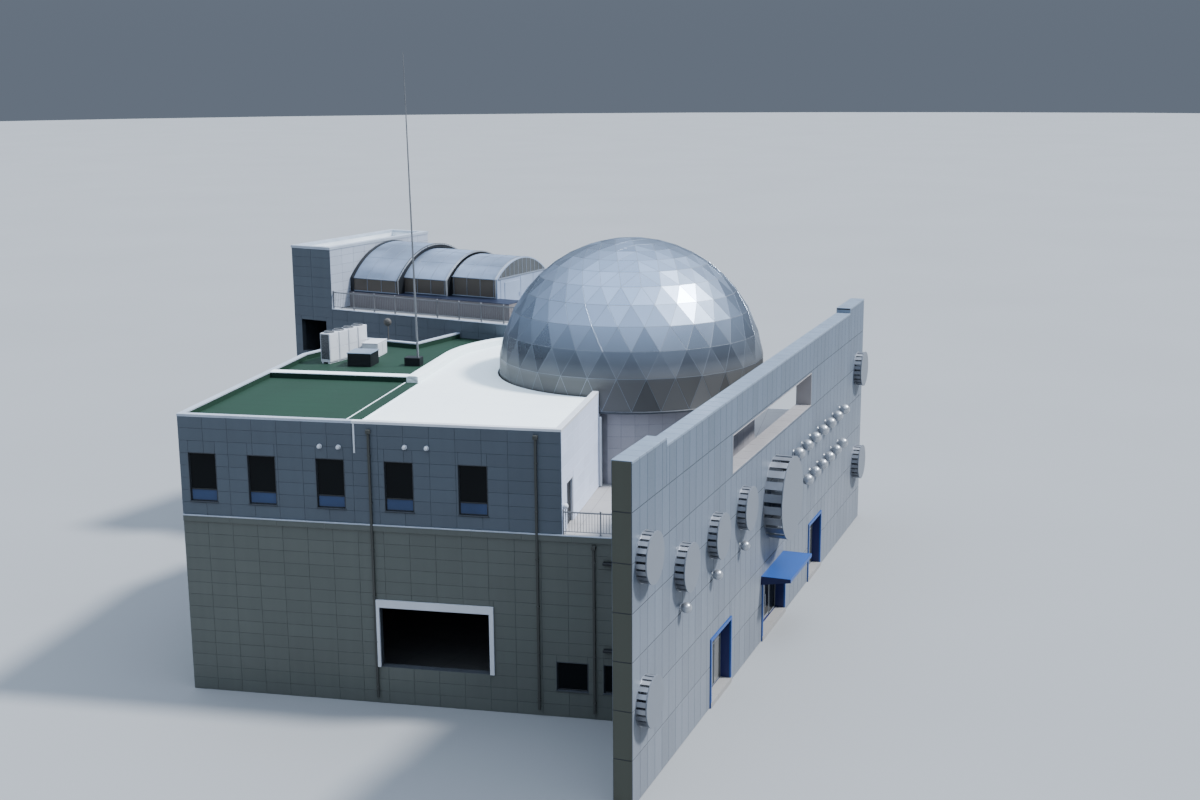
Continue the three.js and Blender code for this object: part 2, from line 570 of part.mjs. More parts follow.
// Triangles between ring k and ring k + 1, as index pairs into the two rings
function bandTriangles(k) {
  const triangles = [];
  const upper = k === 0 ? 1 : DOME_SECTORS * Math.min(k, CAP_RINGS);
  const lower = DOME_SECTORS * Math.min(k + 1, CAP_RINGS);
  if (k < CAP_RINGS) {
    for (let sector = 0; sector < DOME_SECTORS; sector += 1) {
      for (let i = 0; i <= k; i += 1) {
        const a = (sector * k + i) % upper;
        const b = sector * (k + 1) + i;
        triangles.push([['upper', a], ['lower', b], ['lower', (b + 1) % lower]]);
        if (i < k) triangles.push([['upper', a], ['lower', (b + 1) % lower], ['upper', (a + 1) % upper]]);
      }
    }
    return triangles;
  }
  const lowerIsStaggered = (k + 1 - CAP_RINGS) % 2 === 1;
  for (let i = 0; i < upper; i += 1) {
    const next = (i + 1) % upper;
    if (lowerIsStaggered) {
      triangles.push([['upper', i], ['lower', i], ['upper', next]]);
      triangles.push([['upper', next], ['lower', i], ['lower', next]]);
    } else {
      triangles.push([['upper', i], ['lower', i], ['lower', next]]);
      triangles.push([['upper', i], ['lower', next], ['upper', next]]);
    }
  }
  return triangles;
}

function domeShell() {
  const last = RING_COLATITUDES.length - 1;
  const positions = [];
  const indices = [];
  const starts = [];
  [DOME.r, DOME.r - DOME.thick].forEach((radius) => {
    const begin = [];
    for (let k = 0; k <= last; k += 1) {
      begin.push(positions.length / 3);
      domeRing(k, radius).forEach(([x, y, z]) => positions.push(m(x), m(y), m(z)));
    }
    starts.push(begin);
  });
  const place = (layer, k, [which, i]) => starts[layer][which === 'upper' ? k : k + 1] + i;
  for (let k = 0; k < last; k += 1) {
    bandTriangles(k).forEach((triangle) => {
      const outer = triangle.map((corner) => place(0, k, corner));
      const inner = triangle.map((corner) => place(1, k, corner)).reverse();
      indices.push(...outer, ...inner);
    });
  }
  const rim = DOME_SECTORS * CAP_RINGS;
  for (let i = 0; i < rim; i += 1) {
    const next = (i + 1) % rim;
    const [outer, inner] = [starts[0][last], starts[1][last]];
    indices.push(outer + i, inner + i, outer + next, outer + next, inner + i, inner + next);
  }
  const geometry = new THREE.BufferGeometry();
  geometry.setAttribute('position', new THREE.Float32BufferAttribute(positions, 3));
  geometry.setIndex(indices);
  geometry.translate(m(DOME.u), m(DOME.v), m(DOME.equator));
  return geometry;
}

function buildDome() {
  addPiece(mainBlock, 'dome_shell', domeShell(), 'silver', 0.3, 0.8);
  const inner = THEATRE.r - THEATRE.wall;
  const low = MAIN.floor + GAP;
  const high = DOME_FOOT - GAP;
  const ringRadius = DOME.r - THEATRE.ringInset;
  const profile = [
    [inner, low], [THEATRE.r, low], [THEATRE.r, DOME_RING_LOW], [ringRadius, DOME_RING_LOW],
    [ringRadius, high], [inner, high],
  ];
  addPiece(mainBlock, 'theatre_wall', turned(DOME.u, DOME.v, profile, THEATRE.segments), 'tile');
}

function buildRearBlock() {
  const deckLow = DECK.top - DECK.slab;
  const wall = REAR.wall;
  const towerSide = REAR.towerRight - GAP;
  const walls = prism([
    [REAR.front, towerSide], [REAR.front, REAR.right], [REAR.back, REAR.right], [REAR.back, towerSide],
    [REAR.back - wall, towerSide], [REAR.back - wall, REAR.right + wall],
    [REAR.front + wall, REAR.right + wall], [REAR.front + wall, towerSide],
  ], 0, deckLow - GAP);
  addPiece(rearBlock, 'rear_walls', walls, 'facade');

  const tube = box(REAR.front, REAR.back, REAR.towerRight, REAR.left, 0, TOWER.top);
  const hollow = box(
    REAR.front + wall, REAR.back - wall, REAR.towerRight + wall, REAR.left - wall,
    -OVERSHOOT, TOWER.top + OVERSHOOT,
  );
  const passage = box(
    REAR.front - OVERSHOOT, REAR.front + OVERSHOOT, UNDERCROFT.right, UNDERCROFT.left,
    UNDERCROFT.sill, UNDERCROFT.head,
  );
  addPiece(rearBlock, 'tower_walls', cut(tube, hollow, passage), 'facade');
  const roofSlab = box(
    REAR.front + wall + GAP, REAR.back - wall - GAP, REAR.towerRight + wall + GAP, REAR.left - wall - GAP,
    TOWER.roof - TOWER.slab, TOWER.roof,
  );
  addPiece(rearBlock, 'tower_roof', roofSlab, 'roof');

  const slabParts = [
    box(REAR.front, REAR.back, REAR.right, towerSide, deckLow, DECK.top),
    box(REAR.front, REAR.front + DECK.kerbWidth, REAR.right, towerSide, deckLow, DECK.top + DECK.kerb),
  ];
  addPiece(rearBlock, 'observation_deck', join(...slabParts), 'white');
  const mirrored = 2 * TRACK.axis - TRACK.near - TRACK.width;
  [['vault_track_near', TRACK.near], ['vault_track_far', mirrored]].forEach(([name, x]) => {
    const track = box(x, x + TRACK.width, TRACK.end, towerSide, DECK.top + GAP, TRACK.top);
    addPiece(rearBlock, name, track, 'dark');
  });
}

// Outline of a vault shell in elevation: upright sides and a flat arc over them
function vaultOutline(half, spring, crown, low) {
  const rise = crown - spring;
  const radius = (half * half + rise * rise) / (2 * rise);
  const centre = crown - radius;
  const angle = Math.asin(half / radius);
  const arc = Array.from({ length: VAULT.steps + 1 }, (_, i) => {
    const a = angle - (2 * angle * i) / VAULT.steps;
    return [radius * Math.sin(a), centre + radius * Math.cos(a)];
  });
  return [[-half, low], ...arc.slice().reverse(), [half, low]];
}

function buildVault() {
  const low = TRACK.top + GAP;
  VAULT_SECTIONS.forEach((section) => {
    const { name, half, spring, crown, from, to } = section;
    const outer = vaultOutline(half, spring, crown, low);
    const inner = vaultOutline(half - VAULT.thick, spring - VAULT.springThick, crown - VAULT.thick, low);
    const outline = [...outer, ...inner.reverse()].map(([x, z]) => [x + TRACK.axis, z]);
    addPiece(rearBlock, name, wallAlongX(from, to, outline), 'clear', 0.2);
  });
  const smallest = VAULT_SECTIONS[2];
  const arch = vaultOutline(smallest.half, smallest.spring, smallest.crown, low);
  const plane = smallest.from - GAP;
  const gable = wallAlongX(plane - GABLE.thick, plane, arch.map(([x, z]) => [x + TRACK.axis, z]));
  addPiece(rearBlock, 'vault_gable', gable, 'white', 0.5);
  const reach = TRACK.axis - TRACK.near - TRACK.width - GABLE.trackGap;
  const skirt = box(
    TRACK.axis - reach, TRACK.axis + reach, plane - GABLE.thick, plane,
    DECK.top + GABLE.overDeck, low - GAP,
  );
  addPiece(rearBlock, 'gable_skirt', skirt, 'white', 0.5);
}

// Posts with a top and a bottom rail, along the second axis
function railing(x, y0, y1, z) {
  const half = RAIL.post / 2;
  const length = y1 - y0;
  const bays = Math.round(length / RAIL.every);
  const parts = [
    box(x - half, x + half, y0, y1, z + RAIL.height - RAIL.post, z + RAIL.height),
    box(x - half / 2, x + half / 2, y0 + half, y1 - half, z + RAIL.low, z + RAIL.low + RAIL.post / 2),
  ];
  for (let i = 0; i <= bays; i += 1) {
    const y = y0 + half + ((length - RAIL.post) * i) / bays;
    parts.push(box(x - half, x + half, y - half, y + half, z, z + RAIL.height - half));
  }
  return join(...parts);
}

function buildRailings() {
  const kerbMiddle = REAR.front + DECK.kerbWidth / 2;
  const deckEnd = REAR.towerRight - RAIL.clear;
  const deckRail = railing(kerbMiddle, REAR.right, deckEnd, DECK.top + DECK.kerb + GAP);
  addPiece(rearBlock, 'deck_railing', deckRail, 'rail', 0.5, 0.5);
  const terraceX = MAIN.front + RAIL.inset;
  const terraceStart = backOfScreen(terraceX) + RAIL.fromWall;
  const terraceRail = railing(terraceX, terraceStart, MAIN.right - RAIL.clear, MAIN.floor + GAP);
  addPiece(mainBlock, 'terrace_railing', terraceRail, 'rail', 0.5, 0.5);
}

function buildRoofPlant() {
  const base = MAIN.roof + GAP;
  const pitch = COOLER.width + COOLER.between;
  const length = COOLER.count * pitch - COOLER.between;
  const skidTop = base + COOLER.skid;
  const nearSkid = COOLER.skidInset;
  const farSkid = COOLER.depth - COOLER.skidInset;
  const parts = [
    box(0, length, nearSkid, nearSkid + COOLER.skid, base, skidTop),
    box(0, length, farSkid - COOLER.skid, farSkid, base, skidTop),
  ];
  for (let i = 0; i < COOLER.count; i += 1) {
    const near = i * pitch;
    const low = skidTop - COOLER.seat;
    parts.push(box(near, near + COOLER.width, 0, COOLER.depth, low, base + COOLER.height));
  }
  const coolers = join(...parts);
  coolers.rotateZ(COOLER_TURN);
  coolers.translate(m(COOLER.u), m(COOLER.v), 0);
  addPiece(mainBlock, 'roof_coolers', coolers, 'white');

  [['plant_box', PLANT_BOX, 'dark'], ['roof_cabinet', CABINET, 'white']].forEach(([name, size, colour]) => {
    const { u, v, width, depth, height } = size;
    addPiece(mainBlock, name, box(u, u + width, v, v + depth, base, base + height), colour);
  });

  const { u, v, width, depth, height } = MAST_BOX;
  const foot = box(u, u + width, v, v + depth, base, base + height);
  const pole = new THREE.CylinderGeometry(m(MAST.tip), m(MAST.foot), m(MAST.height), 12);
  pole.translate(0, m(MAST.height / 2), 0);
  pole.rotateX(Math.PI / 2 - MAST_LEAN);
  pole.translate(m(MAST.u), m(MAST.v), m(base + MAST_BOX.height / 3));
  addPiece(mainBlock, 'lightning_mast', join(foot, pole), 'rail', 0.5, 0.6);
}

buildScreenWall();
buildPortalLiners();
buildEntrance();
buildLouvreDrums();
buildLowerStorey();
buildUpperStorey();
buildRoofs();
buildDome();
buildRearBlock();
buildVault();
buildRailings();
buildRoofPlant();

// The origin is at the middle of the building's own footprint, on the ground
building.updateMatrixWorld(true);
const bounds = new THREE.Box3().setFromObject(building, true);
const middle = bounds.getCenter(new THREE.Vector3());
building.position.set(-middle.x, -middle.y, -bounds.min.z);

export default building;
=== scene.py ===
"""Looks of the half-size science hall: a panelled dome behind a tall screen wall, a deck with a sliding vault.

Sizes are the real building's, in metres, and placed() turns them into the model's metres. The screen wall and
its fittings lie along X, the main block is turned from it one way and the rear block the other way. A box is a
row of x0, x1, y0, y1, z0, z1, and on a wall these run along it, outwards and up.
"""

import math

import bmesh
import bpy
import numpy as np
from mathutils import Matrix


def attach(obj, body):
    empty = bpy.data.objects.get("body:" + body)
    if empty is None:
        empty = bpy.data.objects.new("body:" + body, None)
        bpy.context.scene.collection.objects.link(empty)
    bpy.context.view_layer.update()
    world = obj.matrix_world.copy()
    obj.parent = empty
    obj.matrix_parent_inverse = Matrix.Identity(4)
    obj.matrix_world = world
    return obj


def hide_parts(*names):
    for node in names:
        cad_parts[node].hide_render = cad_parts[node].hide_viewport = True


bl_info = {
    "name": "Science Hall Looks",
    "version": (1, 0, 0),
    "blender": (4, 5, 0),
    "location": "View3D > Sidebar > Hall",
    "description": "Cladding, dome plates, vault sheets, railings and fittings of a half-size science hall",
    "category": "Object",
}

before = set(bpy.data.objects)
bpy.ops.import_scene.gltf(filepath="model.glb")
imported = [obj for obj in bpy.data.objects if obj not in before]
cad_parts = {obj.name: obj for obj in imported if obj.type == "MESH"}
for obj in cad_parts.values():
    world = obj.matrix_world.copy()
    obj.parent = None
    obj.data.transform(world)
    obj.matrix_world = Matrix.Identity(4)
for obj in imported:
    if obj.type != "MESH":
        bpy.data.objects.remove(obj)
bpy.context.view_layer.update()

SCALE = 0.5
SHIFT = np.array([-10.7125, -7.92272, 0.0])
STRAIGHT = 0.0
MAIN_TURN = math.radians(9.54)
REAR_TURN = math.radians(-8.4)

# Screen wall: the opening is left, right, sill and head, and the portals are left, right and head
WALL = {"length": 42.85, "thick": 0.8, "top": 13.9, "bookend_top": 14.2, "bookend": 4.1}
WALL_LEVELS = [0.0, 2.02, 4.07, 6.12, 8.13, 10.15, 12.2, WALL["bookend_top"]]
OPENING = (13.65, 29.0, 10.25, 12.1)
PORTALS = [(10.3, 13.65, 3.33), (29.0, 32.1, 3.38)]
ENTRANCE = (19.2, 23.9, 3.1)
JAMB, LINTEL, STEP_TOP, GLASS_FOOT = 0.145, 0.15, 0.25, 0.26
CANOPY = {"left": 19.0, "right": 23.45, "reach": 1.55, "low": 3.1, "high": 3.55, "edge": 0.18}
DRUM_REACH = {"small": 0.5, "large": 1.0}
# Rows of spheres: places along the wall, height and radius
SPHERE_ROWS = [(np.linspace(25.17, 36.37, 7), 8.5, 0.31), (np.linspace(27.26, 36.06, 6), 6.5, 0.31),
               ((5.95, 10.5, 15.0), 6.4, 0.24)]

# Main block in its own axes: u from the camera side to the rear, v across
MAIN = {"front": 8.03, "far": 34.65, "right": 4.6, "left": 22.6, "floor": 8.6, "roof": 13.05, "curb_top": 13.35}
CORNER = (MAIN["front"], MAIN["left"])
LOW_LEVELS = np.linspace(0.0, 8.3, 15)
HIGH_FOOT, HIGH_TOP = 8.62, 13.31
HIGH_LEVELS = np.linspace(HIGH_FOOT, HIGH_TOP, 9)
FLOOR_EDGE = {"panels": (8.305, 8.56), "flashing": (8.565, 8.615), "bay": 2.4}
EAVES = (12.6, 13.3)
TERRACE_DOOR = (9.0, 10.3, 8.0, 10.7)
ROOF_SPLIT = {"front": 14.2, "rear": 14.95, "cross": 17.95, "cross_width": 0.6}
HALL_ARC = (24.5, 6.35)
SIDE_END = 23.0
GARAGE = {"right": 8.0, "left": 13.2, "sill": 1.8, "head": 4.69}
# On the front: fall pipes and vent hoods as v and height, a white strip as v0, v1, z0 and z1, and lamps as v0, v1
# and heights. On the terrace's wall: a pipe's u0, u1 and head and a lamp's u. On the roof: the floodlight's u and v
FALL_PIPES = ((13.4, 13.02), (5.73, 13.08), (3.17, 8.2))
VENTS = ((15.74, 12.15), (14.84, 12.15), (11.73, 12.27), (10.71, 12.27))
FRONT_STRIP = (14.06, 14.14, 11.9, 13.25)
LAMPS = (2.25, 2.75, (7.43, 3.37))
TERRACE_PIPE = (16.0, 16.16, 12.1)
TERRACE_LAMP = 8.25
FLOODLIGHT = (27.78, 19.32)
# Each row of windows: width, sill, head, height of its cross bar, and centres from the start of its wall
WINDOWS = {
    "upper_front": (1.32, 9.27, 11.56, 9.84, [MAIN["left"] - v for v in (8.62, 12.06, 15.3, 18.6, 21.5)]),
    "upper_side": (1.32, 9.27, 11.56, 9.84, [SIDE_END - u for u in (11.5, 15.0, 18.5, 22.0)]),
    "lower_front": (1.42, 1.29, 2.62, None, [MAIN["left"] - v for v in (2.04, 4.2)]),
}
WINDOW_WALLS = {"upper_front": (CORNER, (MAIN["front"], 0.0)), "upper_side": ((SIDE_END, MAIN["left"]), CORNER),
                "lower_front": (CORNER, (MAIN["front"], 0.0))}
DOME = {"u": 23.07, "v": 4.26, "r": 6.98, "equator": 13.05}
DOME_CENTRE = [DOME["u"], DOME["v"], 0]
RING_COLATITUDES = [0, 7, 13.5, 20.2, 27.5, 35, 43.2, 52, 61.5, 71.6, 82.5, 95.7]
DOME_TURN = math.radians(206 - 9.54)
CAP_RINGS = 6
THEATRE_RADIUS = 6.5
# Roof plant: the turned row of coolers from its corner, and boxes as u0, u1, v0, v1 and height
COOLERS = {"u": 21.95, "v": 20.6, "width": 0.8, "depth": 0.62, "height": 1.65, "count": 4, "between": 0.06}
COOLER_TURN = math.radians(-16)
PLANT_BOX = (21.5, 22.8, 18.15, 19.45, 0.7)
CABINET = (24.2, 25.7, 18.7, 19.6, 0.75)
MAST_BOX = (22.1, 22.7, 15.6, 16.45, 0.45)

# Rear block in its own axes, its passage as left, right, sill and head, and the sliding roof's sections as name,
# body, half span, spring, crown, start and stop
REAR = {"front": 24.37, "back": 34.6, "right": 18.5, "tower": 34.2, "left": 37.2}
DECK_TOP = 14.0
TOWER_TOP = 17.87
PASSAGE = (34.7, 36.65, 11.3, 13.3)
VAULT_AXIS = 30.3
TRACK_TOP = 15.0
GABLE = {"foot": 14.08, "bar": 16.17, "door": (28.3, 30.0), "panels": ((27.85, 28.2), (30.1, 31.5), (31.55, 32.75))}
VAULT_SECTIONS = [
    ("1", "building", 4.05, 15.85, 17.7, 30.5, 34.15),
    ("2", "vault_2", 3.3, 15.98, 17.42, 27.35, 30.8),
    ("3", "vault_3", 2.8, 16.17, 17.25, 24.1, 27.4),
]

# Stage, in the model's metres and degrees: the camera's angles were solved from the building's own lines
FLOOR_RADIUS = 400
SUN = {"aim": (-0.25, 0.57, -0.78), "strength": 6.8, "spread": 7, "colour": (0.98, 0.99, 1.0)}
SKY = {"low": (0.07, 0.085, 0.11), "high": (1.2, 1.42, 1.75), "strength": 1.9}
VIEW = {"heading": 21.21, "pitch": -12.42, "roll": -0.40, "place": (-37.1525, -17.5577, 14.5), "lens": 46.26}

# Open joints between plates, across and upwards, the usual bay between two posts of a railing, and how close two
# points lie that are welded into one
WALL_GAP, BLOCK_GAP, PALE_GAP, TILE_GAP = (0.022, 0.045), (0.012, 0.012), (0.006, 0.006), (0.01, 0.01)
RAIL_BAY = 1.6
WELD = 1e-5


def rotated(points, turn):
    """Plan points turned about the origin."""
    points = np.asarray(points, float)
    cos, sin = math.cos(turn), math.sin(turn)
    x, y = points[..., 0], points[..., 1]
    return np.stack([x * cos - y * sin, x * sin + y * cos], -1)


def unit(vectors):
    """Vectors over their own lengths."""
    vectors = np.asarray(vectors, float)
    return vectors / np.linalg.norm(vectors, axis=-1, keepdims=True)


def circle(angles):
    """The cosine and sine of each angle, as plan points."""
    return np.stack([np.cos(angles), np.sin(angles)], -1)


def placed(points, turn=STRAIGHT):
    """Real metres in a block's axes to the model's: turned about the upright axis, then halved and shifted."""
    points = np.asarray(points, float)
    return np.concatenate([rotated(points, turn), points[..., 2:]], -1) * SCALE + SHIFT


def polygons(*groups):
    """Arrays of faces, each with its own number of corners, as one run of corner numbers and the faces' sizes."""
    groups = [np.atleast_2d(group) for group in groups]
    return (np.concatenate([group.ravel() for group in groups]),
            np.concatenate([np.full(len(group), group.shape[1]) for group in groups]))


def copies(faces, count, step):
    """The faces of one shape for each of its copies: corner numbers go up by a step, the shape's count of points."""
    indices, sizes = faces
    return (indices + (np.arange(count) * step)[:, None]).ravel(), np.tile(sizes, count)


def joined(*parts):
    """Several (points, faces) in one, with the later faces' corner numbers moved on past the earlier points."""
    starts = np.cumsum([0] + [len(points) for points, _ in parts[:-1]])
    indices = np.concatenate([faces[0] + start for (_, faces), start in zip(parts, starts)])
    return np.concatenate([points for points, _ in parts]), (indices, np.concatenate([f[1] for _, f in parts]))


def make_piece(name, shape, finish, turn=STRAIGHT, body="building", smooth=False, weld=0.0, tone=None):
    """A mesh object at the origin from a shape in a block's axes, its normals turned outwards, riding on a body."""
    points, (indices, sizes) = shape
    mesh = bpy.data.meshes.new(name)
    mesh.vertices.add(len(points))
    mesh.vertices.foreach_set("co", placed(points, turn).astype(np.float32).ravel())
    mesh.loops.add(len(indices))
    mesh.loops.foreach_set("vertex_index", indices.astype(np.int32))
    mesh.polygons.add(len(sizes))
    mesh.polygons.foreach_set("loop_start", np.concatenate([[0], np.cumsum(sizes)[:-1]]).astype(np.int32))
    mesh.update(calc_edges=True)
    if tone is not None:
        mesh.attributes.new("tone", "FLOAT", "POINT").data.foreach_set("value", tone.astype(np.float32))
    solid = bmesh.new()
    solid.from_mesh(mesh)
    if weld:
        bmesh.ops.remove_doubles(solid, verts=solid.verts, dist=weld)
    bmesh.ops.recalc_face_normals(solid, faces=solid.faces)
    solid.to_mesh(mesh)
    solid.free()
    if smooth:
        mesh.shade_smooth()
    else:
        mesh.shade_flat()
    mesh.materials.append(finish_of(finish))
    piece = bpy.data.objects.new(name, mesh)
    bpy.context.scene.collection.objects.link(piece)
    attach(piece, body)
    return piece


def block_template():
    """A box with its edges cut off: each corner gives three points, each moved in along two of the axes.

    A step is the number of points from one corner to the next along each axis.
    """
    sides = np.repeat([[x, y, z] for x in (0, 1) for y in (0, 1) for z in (0, 1)], 3, 0)
    inwards = 1 - 2 * sides
    inwards[np.arange(24), np.tile(np.arange(3), 8)] = 0
    step = (12, 6, 3)
    quads = []
    for axis in range(3):
        b, c = [k for k in range(3) if k != axis]
        for side in (0, step[axis]):
            quads.append([side + p * step[b] + q * step[c] + axis for p, q in ((0, 0), (1, 0), (1, 1), (0, 1))])
        for p, q in ((0, 0), (0, 1), (1, 0), (1, 1)):
            low = p * step[b] + q * step[c]
            high = low + step[axis]
            quads.append([low + b, low + c, high + c, high + b])
    return sides, inwards, polygons(quads, np.arange(24).reshape(8, 3))


BLOCK_SIDES, BLOCK_INWARDS, BLOCK_FACES = block_template()


def blocks(boxes, chamfer=0.01):
    """Boxes with every edge cut off by the chamfer."""
    boxes = np.atleast_2d(np.asarray(boxes, float))
    lows, spans = boxes[:, ::2], boxes[:, 1::2] - boxes[:, ::2]
    cut = np.minimum(chamfer, spans.min(1) * 0.45)[:, None, None]
    points = lows[:, None] + spans[:, None] * BLOCK_SIDES + BLOCK_INWARDS * cut
    return points.reshape(-1, 3), copies(BLOCK_FACES, len(boxes), 24)


def boards(steps, gap, *rest):
    """A box between each step and the next, drawn in by a gap at both ends."""
    return [[a + gap, b - gap, *rest] for a, b in zip(steps, steps[1:])]


def cells(across, upward, holes):
    """Every cell of a grid given by its lines, less the holes: a cell that a hole cuts is split round it."""
    a0, b0 = np.meshgrid(across[:-1], upward[:-1], indexing="ij")
    a1, b1 = np.meshgrid(across[1:], upward[1:], indexing="ij")
    found = np.stack([a0, a1, b0, b1], -1).reshape(-1, 4)
    for h0, h1, k0, k1 in holes:
        hit = (found[:, 0] < h1) & (found[:, 1] > h0) & (found[:, 2] < k1) & (found[:, 3] > k0)
        rest, cut = found[~hit], found[hit]
        left, right, below, above = (cut.copy() for _ in range(4))
        left[:, 1], right[:, 0] = np.minimum(cut[:, 1], h0), np.maximum(cut[:, 0], h1)
        for part in (below, above):
            part[:, 0], part[:, 1] = np.maximum(cut[:, 0], h0), np.minimum(cut[:, 1], h1)
        below[:, 3], above[:, 2] = np.minimum(cut[:, 3], k0), np.maximum(cut[:, 2], k1)
        found = np.concatenate([rest, left, right, below, above])
        found = found[(found[:, 1] - found[:, 0] > 0.05) & (found[:, 3] - found[:, 2] > 0.05)]
    return found


def on_wall(shape, start, end):
    """Points (along, outwards, up) put on a wall from start to end whose outside is on the right."""
    points, faces = shape
    along = unit(np.subtract(end, start))
    flat = start + points[:, :1] * along + points[:, 1:2] * np.array([along[1], -along[0]])
    return np.concatenate([flat, points[:, 2:]], 1), faces


def clad_piece(name, finish, plate, walls, turn=STRAIGHT):
    """Plates over straight walls with open joints, and a random tone for each plate that its points share.

    The plate is its pitch, its relief and the joint's width and height. A wall is its start, end, course levels,
    seed and holes.
    """
    pitch, relief, wide, high = plate
    shapes, tones = [], []
    for start, end, levels, seed, *holes in walls:
        length = math.dist(start, end)
        lines = np.linspace(0, length, max(2, round(length / pitch) + 1))
        a0, a1, b0, b1 = cells(lines, levels, holes).T
        foot = np.zeros(len(a0))
        rows = np.stack([a0 + wide / 2, a1 - wide / 2, foot, foot + relief, b0 + high / 2, b1 - high / 2], 1)
        shapes.append(on_wall(blocks(rows, 0.003), start, end))
        tones.append(np.repeat(np.random.default_rng(seed).random(len(rows)), 24))
    make_piece(name, joined(*shapes), finish, turn, tone=np.concatenate(tones))


def swept(profile, path, normal=(0, 0, 1), closed=False):
    """A closed profile carried along a line of points with mitred corners.

    The profile's first number runs along the cross product of the line's direction and the normal, and its second
    along the normal. At a corner the side is the sum of both sides over one plus their dot product.
    """
    path, profile, normal = np.asarray(path, float), np.asarray(profile, float), np.asarray(normal, float)
    steps = np.diff(np.concatenate([path, path[:1]]) if closed else path, axis=0)
    sides = unit(np.cross(steps, normal))
    before = np.roll(sides, 1, 0) if closed else np.concatenate([sides[:1], sides])
    after = sides if closed else np.concatenate([sides, sides[-1:]])
    mitre = (before + after) / (1 + (before * after).sum(1))[:, None]
    points = path[:, None] + mitre[:, None] * profile[None, :, :1] + normal * profile[None, :, 1:]
    rows, columns = len(path), len(profile)
    i, j = np.meshgrid(np.arange(rows if closed else rows - 1), np.arange(columns), indexing="ij")
    here, there, after_j = i * columns, ((i + 1) % rows) * columns, (j + 1) % columns
    quads = np.stack([here + j, there + j, there + after_j, here + after_j], -1).reshape(-1, 4)
    lids = [np.arange(columns)[::-1], np.arange((rows - 1) * columns, rows * columns)]
    return points.reshape(-1, 3), polygons(quads) if closed else polygons(quads, lids)


def rods(starts, ends, radius, sides=8):
    """Round rods between points: a circle at each end, square to the rod, and its two lids."""
    starts, ends = np.atleast_2d(starts).astype(float), np.atleast_2d(ends).astype(float)
    along = unit(ends - starts)
    helper = np.where(np.abs(along[:, 2:]) > 0.9, [[1.0, 0, 0]], [[0, 0, 1.0]])
    side = unit(np.cross(along, helper))
    other = np.cross(along, side)
    angle = np.linspace(0, 2 * np.pi, sides, endpoint=False)[None, :, None]
    around = (np.cos(angle) * side[:, None] + np.sin(angle) * other[:, None]) * radius
    points = np.stack([starts[:, None] + around, ends[:, None] + around], 1).reshape(-1, 3)
    k = np.arange(sides)
    ring = np.stack([k, (k + 1) % sides, sides + (k + 1) % sides, sides + k], 1)
    return points, copies(polygons(ring, [k[::-1], sides + k]), len(starts), 2 * sides)


def revolved(profile, segments, axis="z"):
    """A line of (radius, height) turned about an axis: across is radius times the angle's cosine and sine."""
    profile = np.asarray(profile, float)
    angle = np.linspace(0, 2 * np.pi, segments, endpoint=False)
    x, y = profile[:, :1] * np.cos(angle), profile[:, :1] * np.sin(angle)
    z = np.broadcast_to(profile[:, 1:], x.shape)
    order = {"z": [x, y, z], "y": [x, z, y], "x": [z, x, y]}[axis]
    i, j = np.meshgrid(np.arange(len(profile) - 1), np.arange(segments), indexing="ij")
    nxt = (j + 1) % segments
    faces = np.stack([i * segments + j, i * segments + nxt, (i + 1) * segments + nxt, (i + 1) * segments + j], -1)
    return np.stack(order, -1).reshape(-1, 3), polygons(faces.reshape(-1, 4))


def repeated(shape, places):
    """Copies of one shape at several places."""
    points, faces = shape
    places = np.atleast_2d(places).astype(float)
    return (points[None] + places[:, None]).reshape(-1, 3), copies(faces, len(places), len(points))


def bow(wide, high, stop, steps, middle=0.0):
    """A bowed outline from an angle of nought: wide times its sine, and the middle less high times its cosine."""
    angle = np.linspace(0, stop, steps + 1)
    return np.stack([wide * np.sin(angle), middle - high * np.cos(angle)], 1)


class Value:
    """A shader socket whose arithmetic adds Math nodes."""

    def __init__(self, nodes, socket):
        self.nodes = nodes
        self.socket = socket

    def __add__(self, other):
        return self.nodes.maths("ADD", self, other)

    def __sub__(self, other):
        return self.nodes.maths("SUBTRACT", self, other)

    def __rsub__(self, other):
        return self.nodes.maths("SUBTRACT", other, self)

    def __mul__(self, other):
        return self.nodes.maths("MULTIPLY", self, other)

    def __lt__(self, other):
        return self.nodes.maths("LESS_THAN", self, other)

    def __gt__(self, other):
        return self.nodes.maths("GREATER_THAN", self, other)

    __radd__ = __add__
    __rmul__ = __mul__


class Nodes:
    """A node tree whose nodes are made from a type, settings, and the values or links of their sockets."""

    def __init__(self, tree):
        self.tree = tree

    def node(self, kind, settings=None, inputs=None, output=0):
        made = self.tree.nodes.new(kind)
        for key, value in (settings or {}).items():
            setattr(made, key, value)
        for key, value in (inputs or {}).items():
            if isinstance(value, Value):
                self.tree.links.new(value.socket, made.inputs[key])
            else:
                made.inputs[key].default_value = value
        return Value(self, made.outputs[output])

    def maths(self, operation, *values):
        return self.node("ShaderNodeMath", {"operation": operation}, dict(enumerate(values)))

    def mix(self, factor, first, second):
        """Two colours mixed, by sockets 0, 6 and 7 of a colour mix, whose result is output 2."""
        colours = [value if isinstance(value, Value) else (*value, 1.0) for value in (first, second)]
        return self.node("ShaderNodeMix", {"data_type": "RGBA"}, {0: factor, 6: colours[0], 7: colours[1]}, 2)

    def split(self, vector):
        outputs = self.node("ShaderNodeSeparateXYZ", None, {"Vector": vector}).socket.node.outputs
        return [Value(self, outputs[k]) for k in range(3)]


def shade(colour, *factors):
    """A colour times one factor, or times one for each channel."""
    return tuple(float(c) for c in np.minimum(1.0, np.array(colour) * factors))


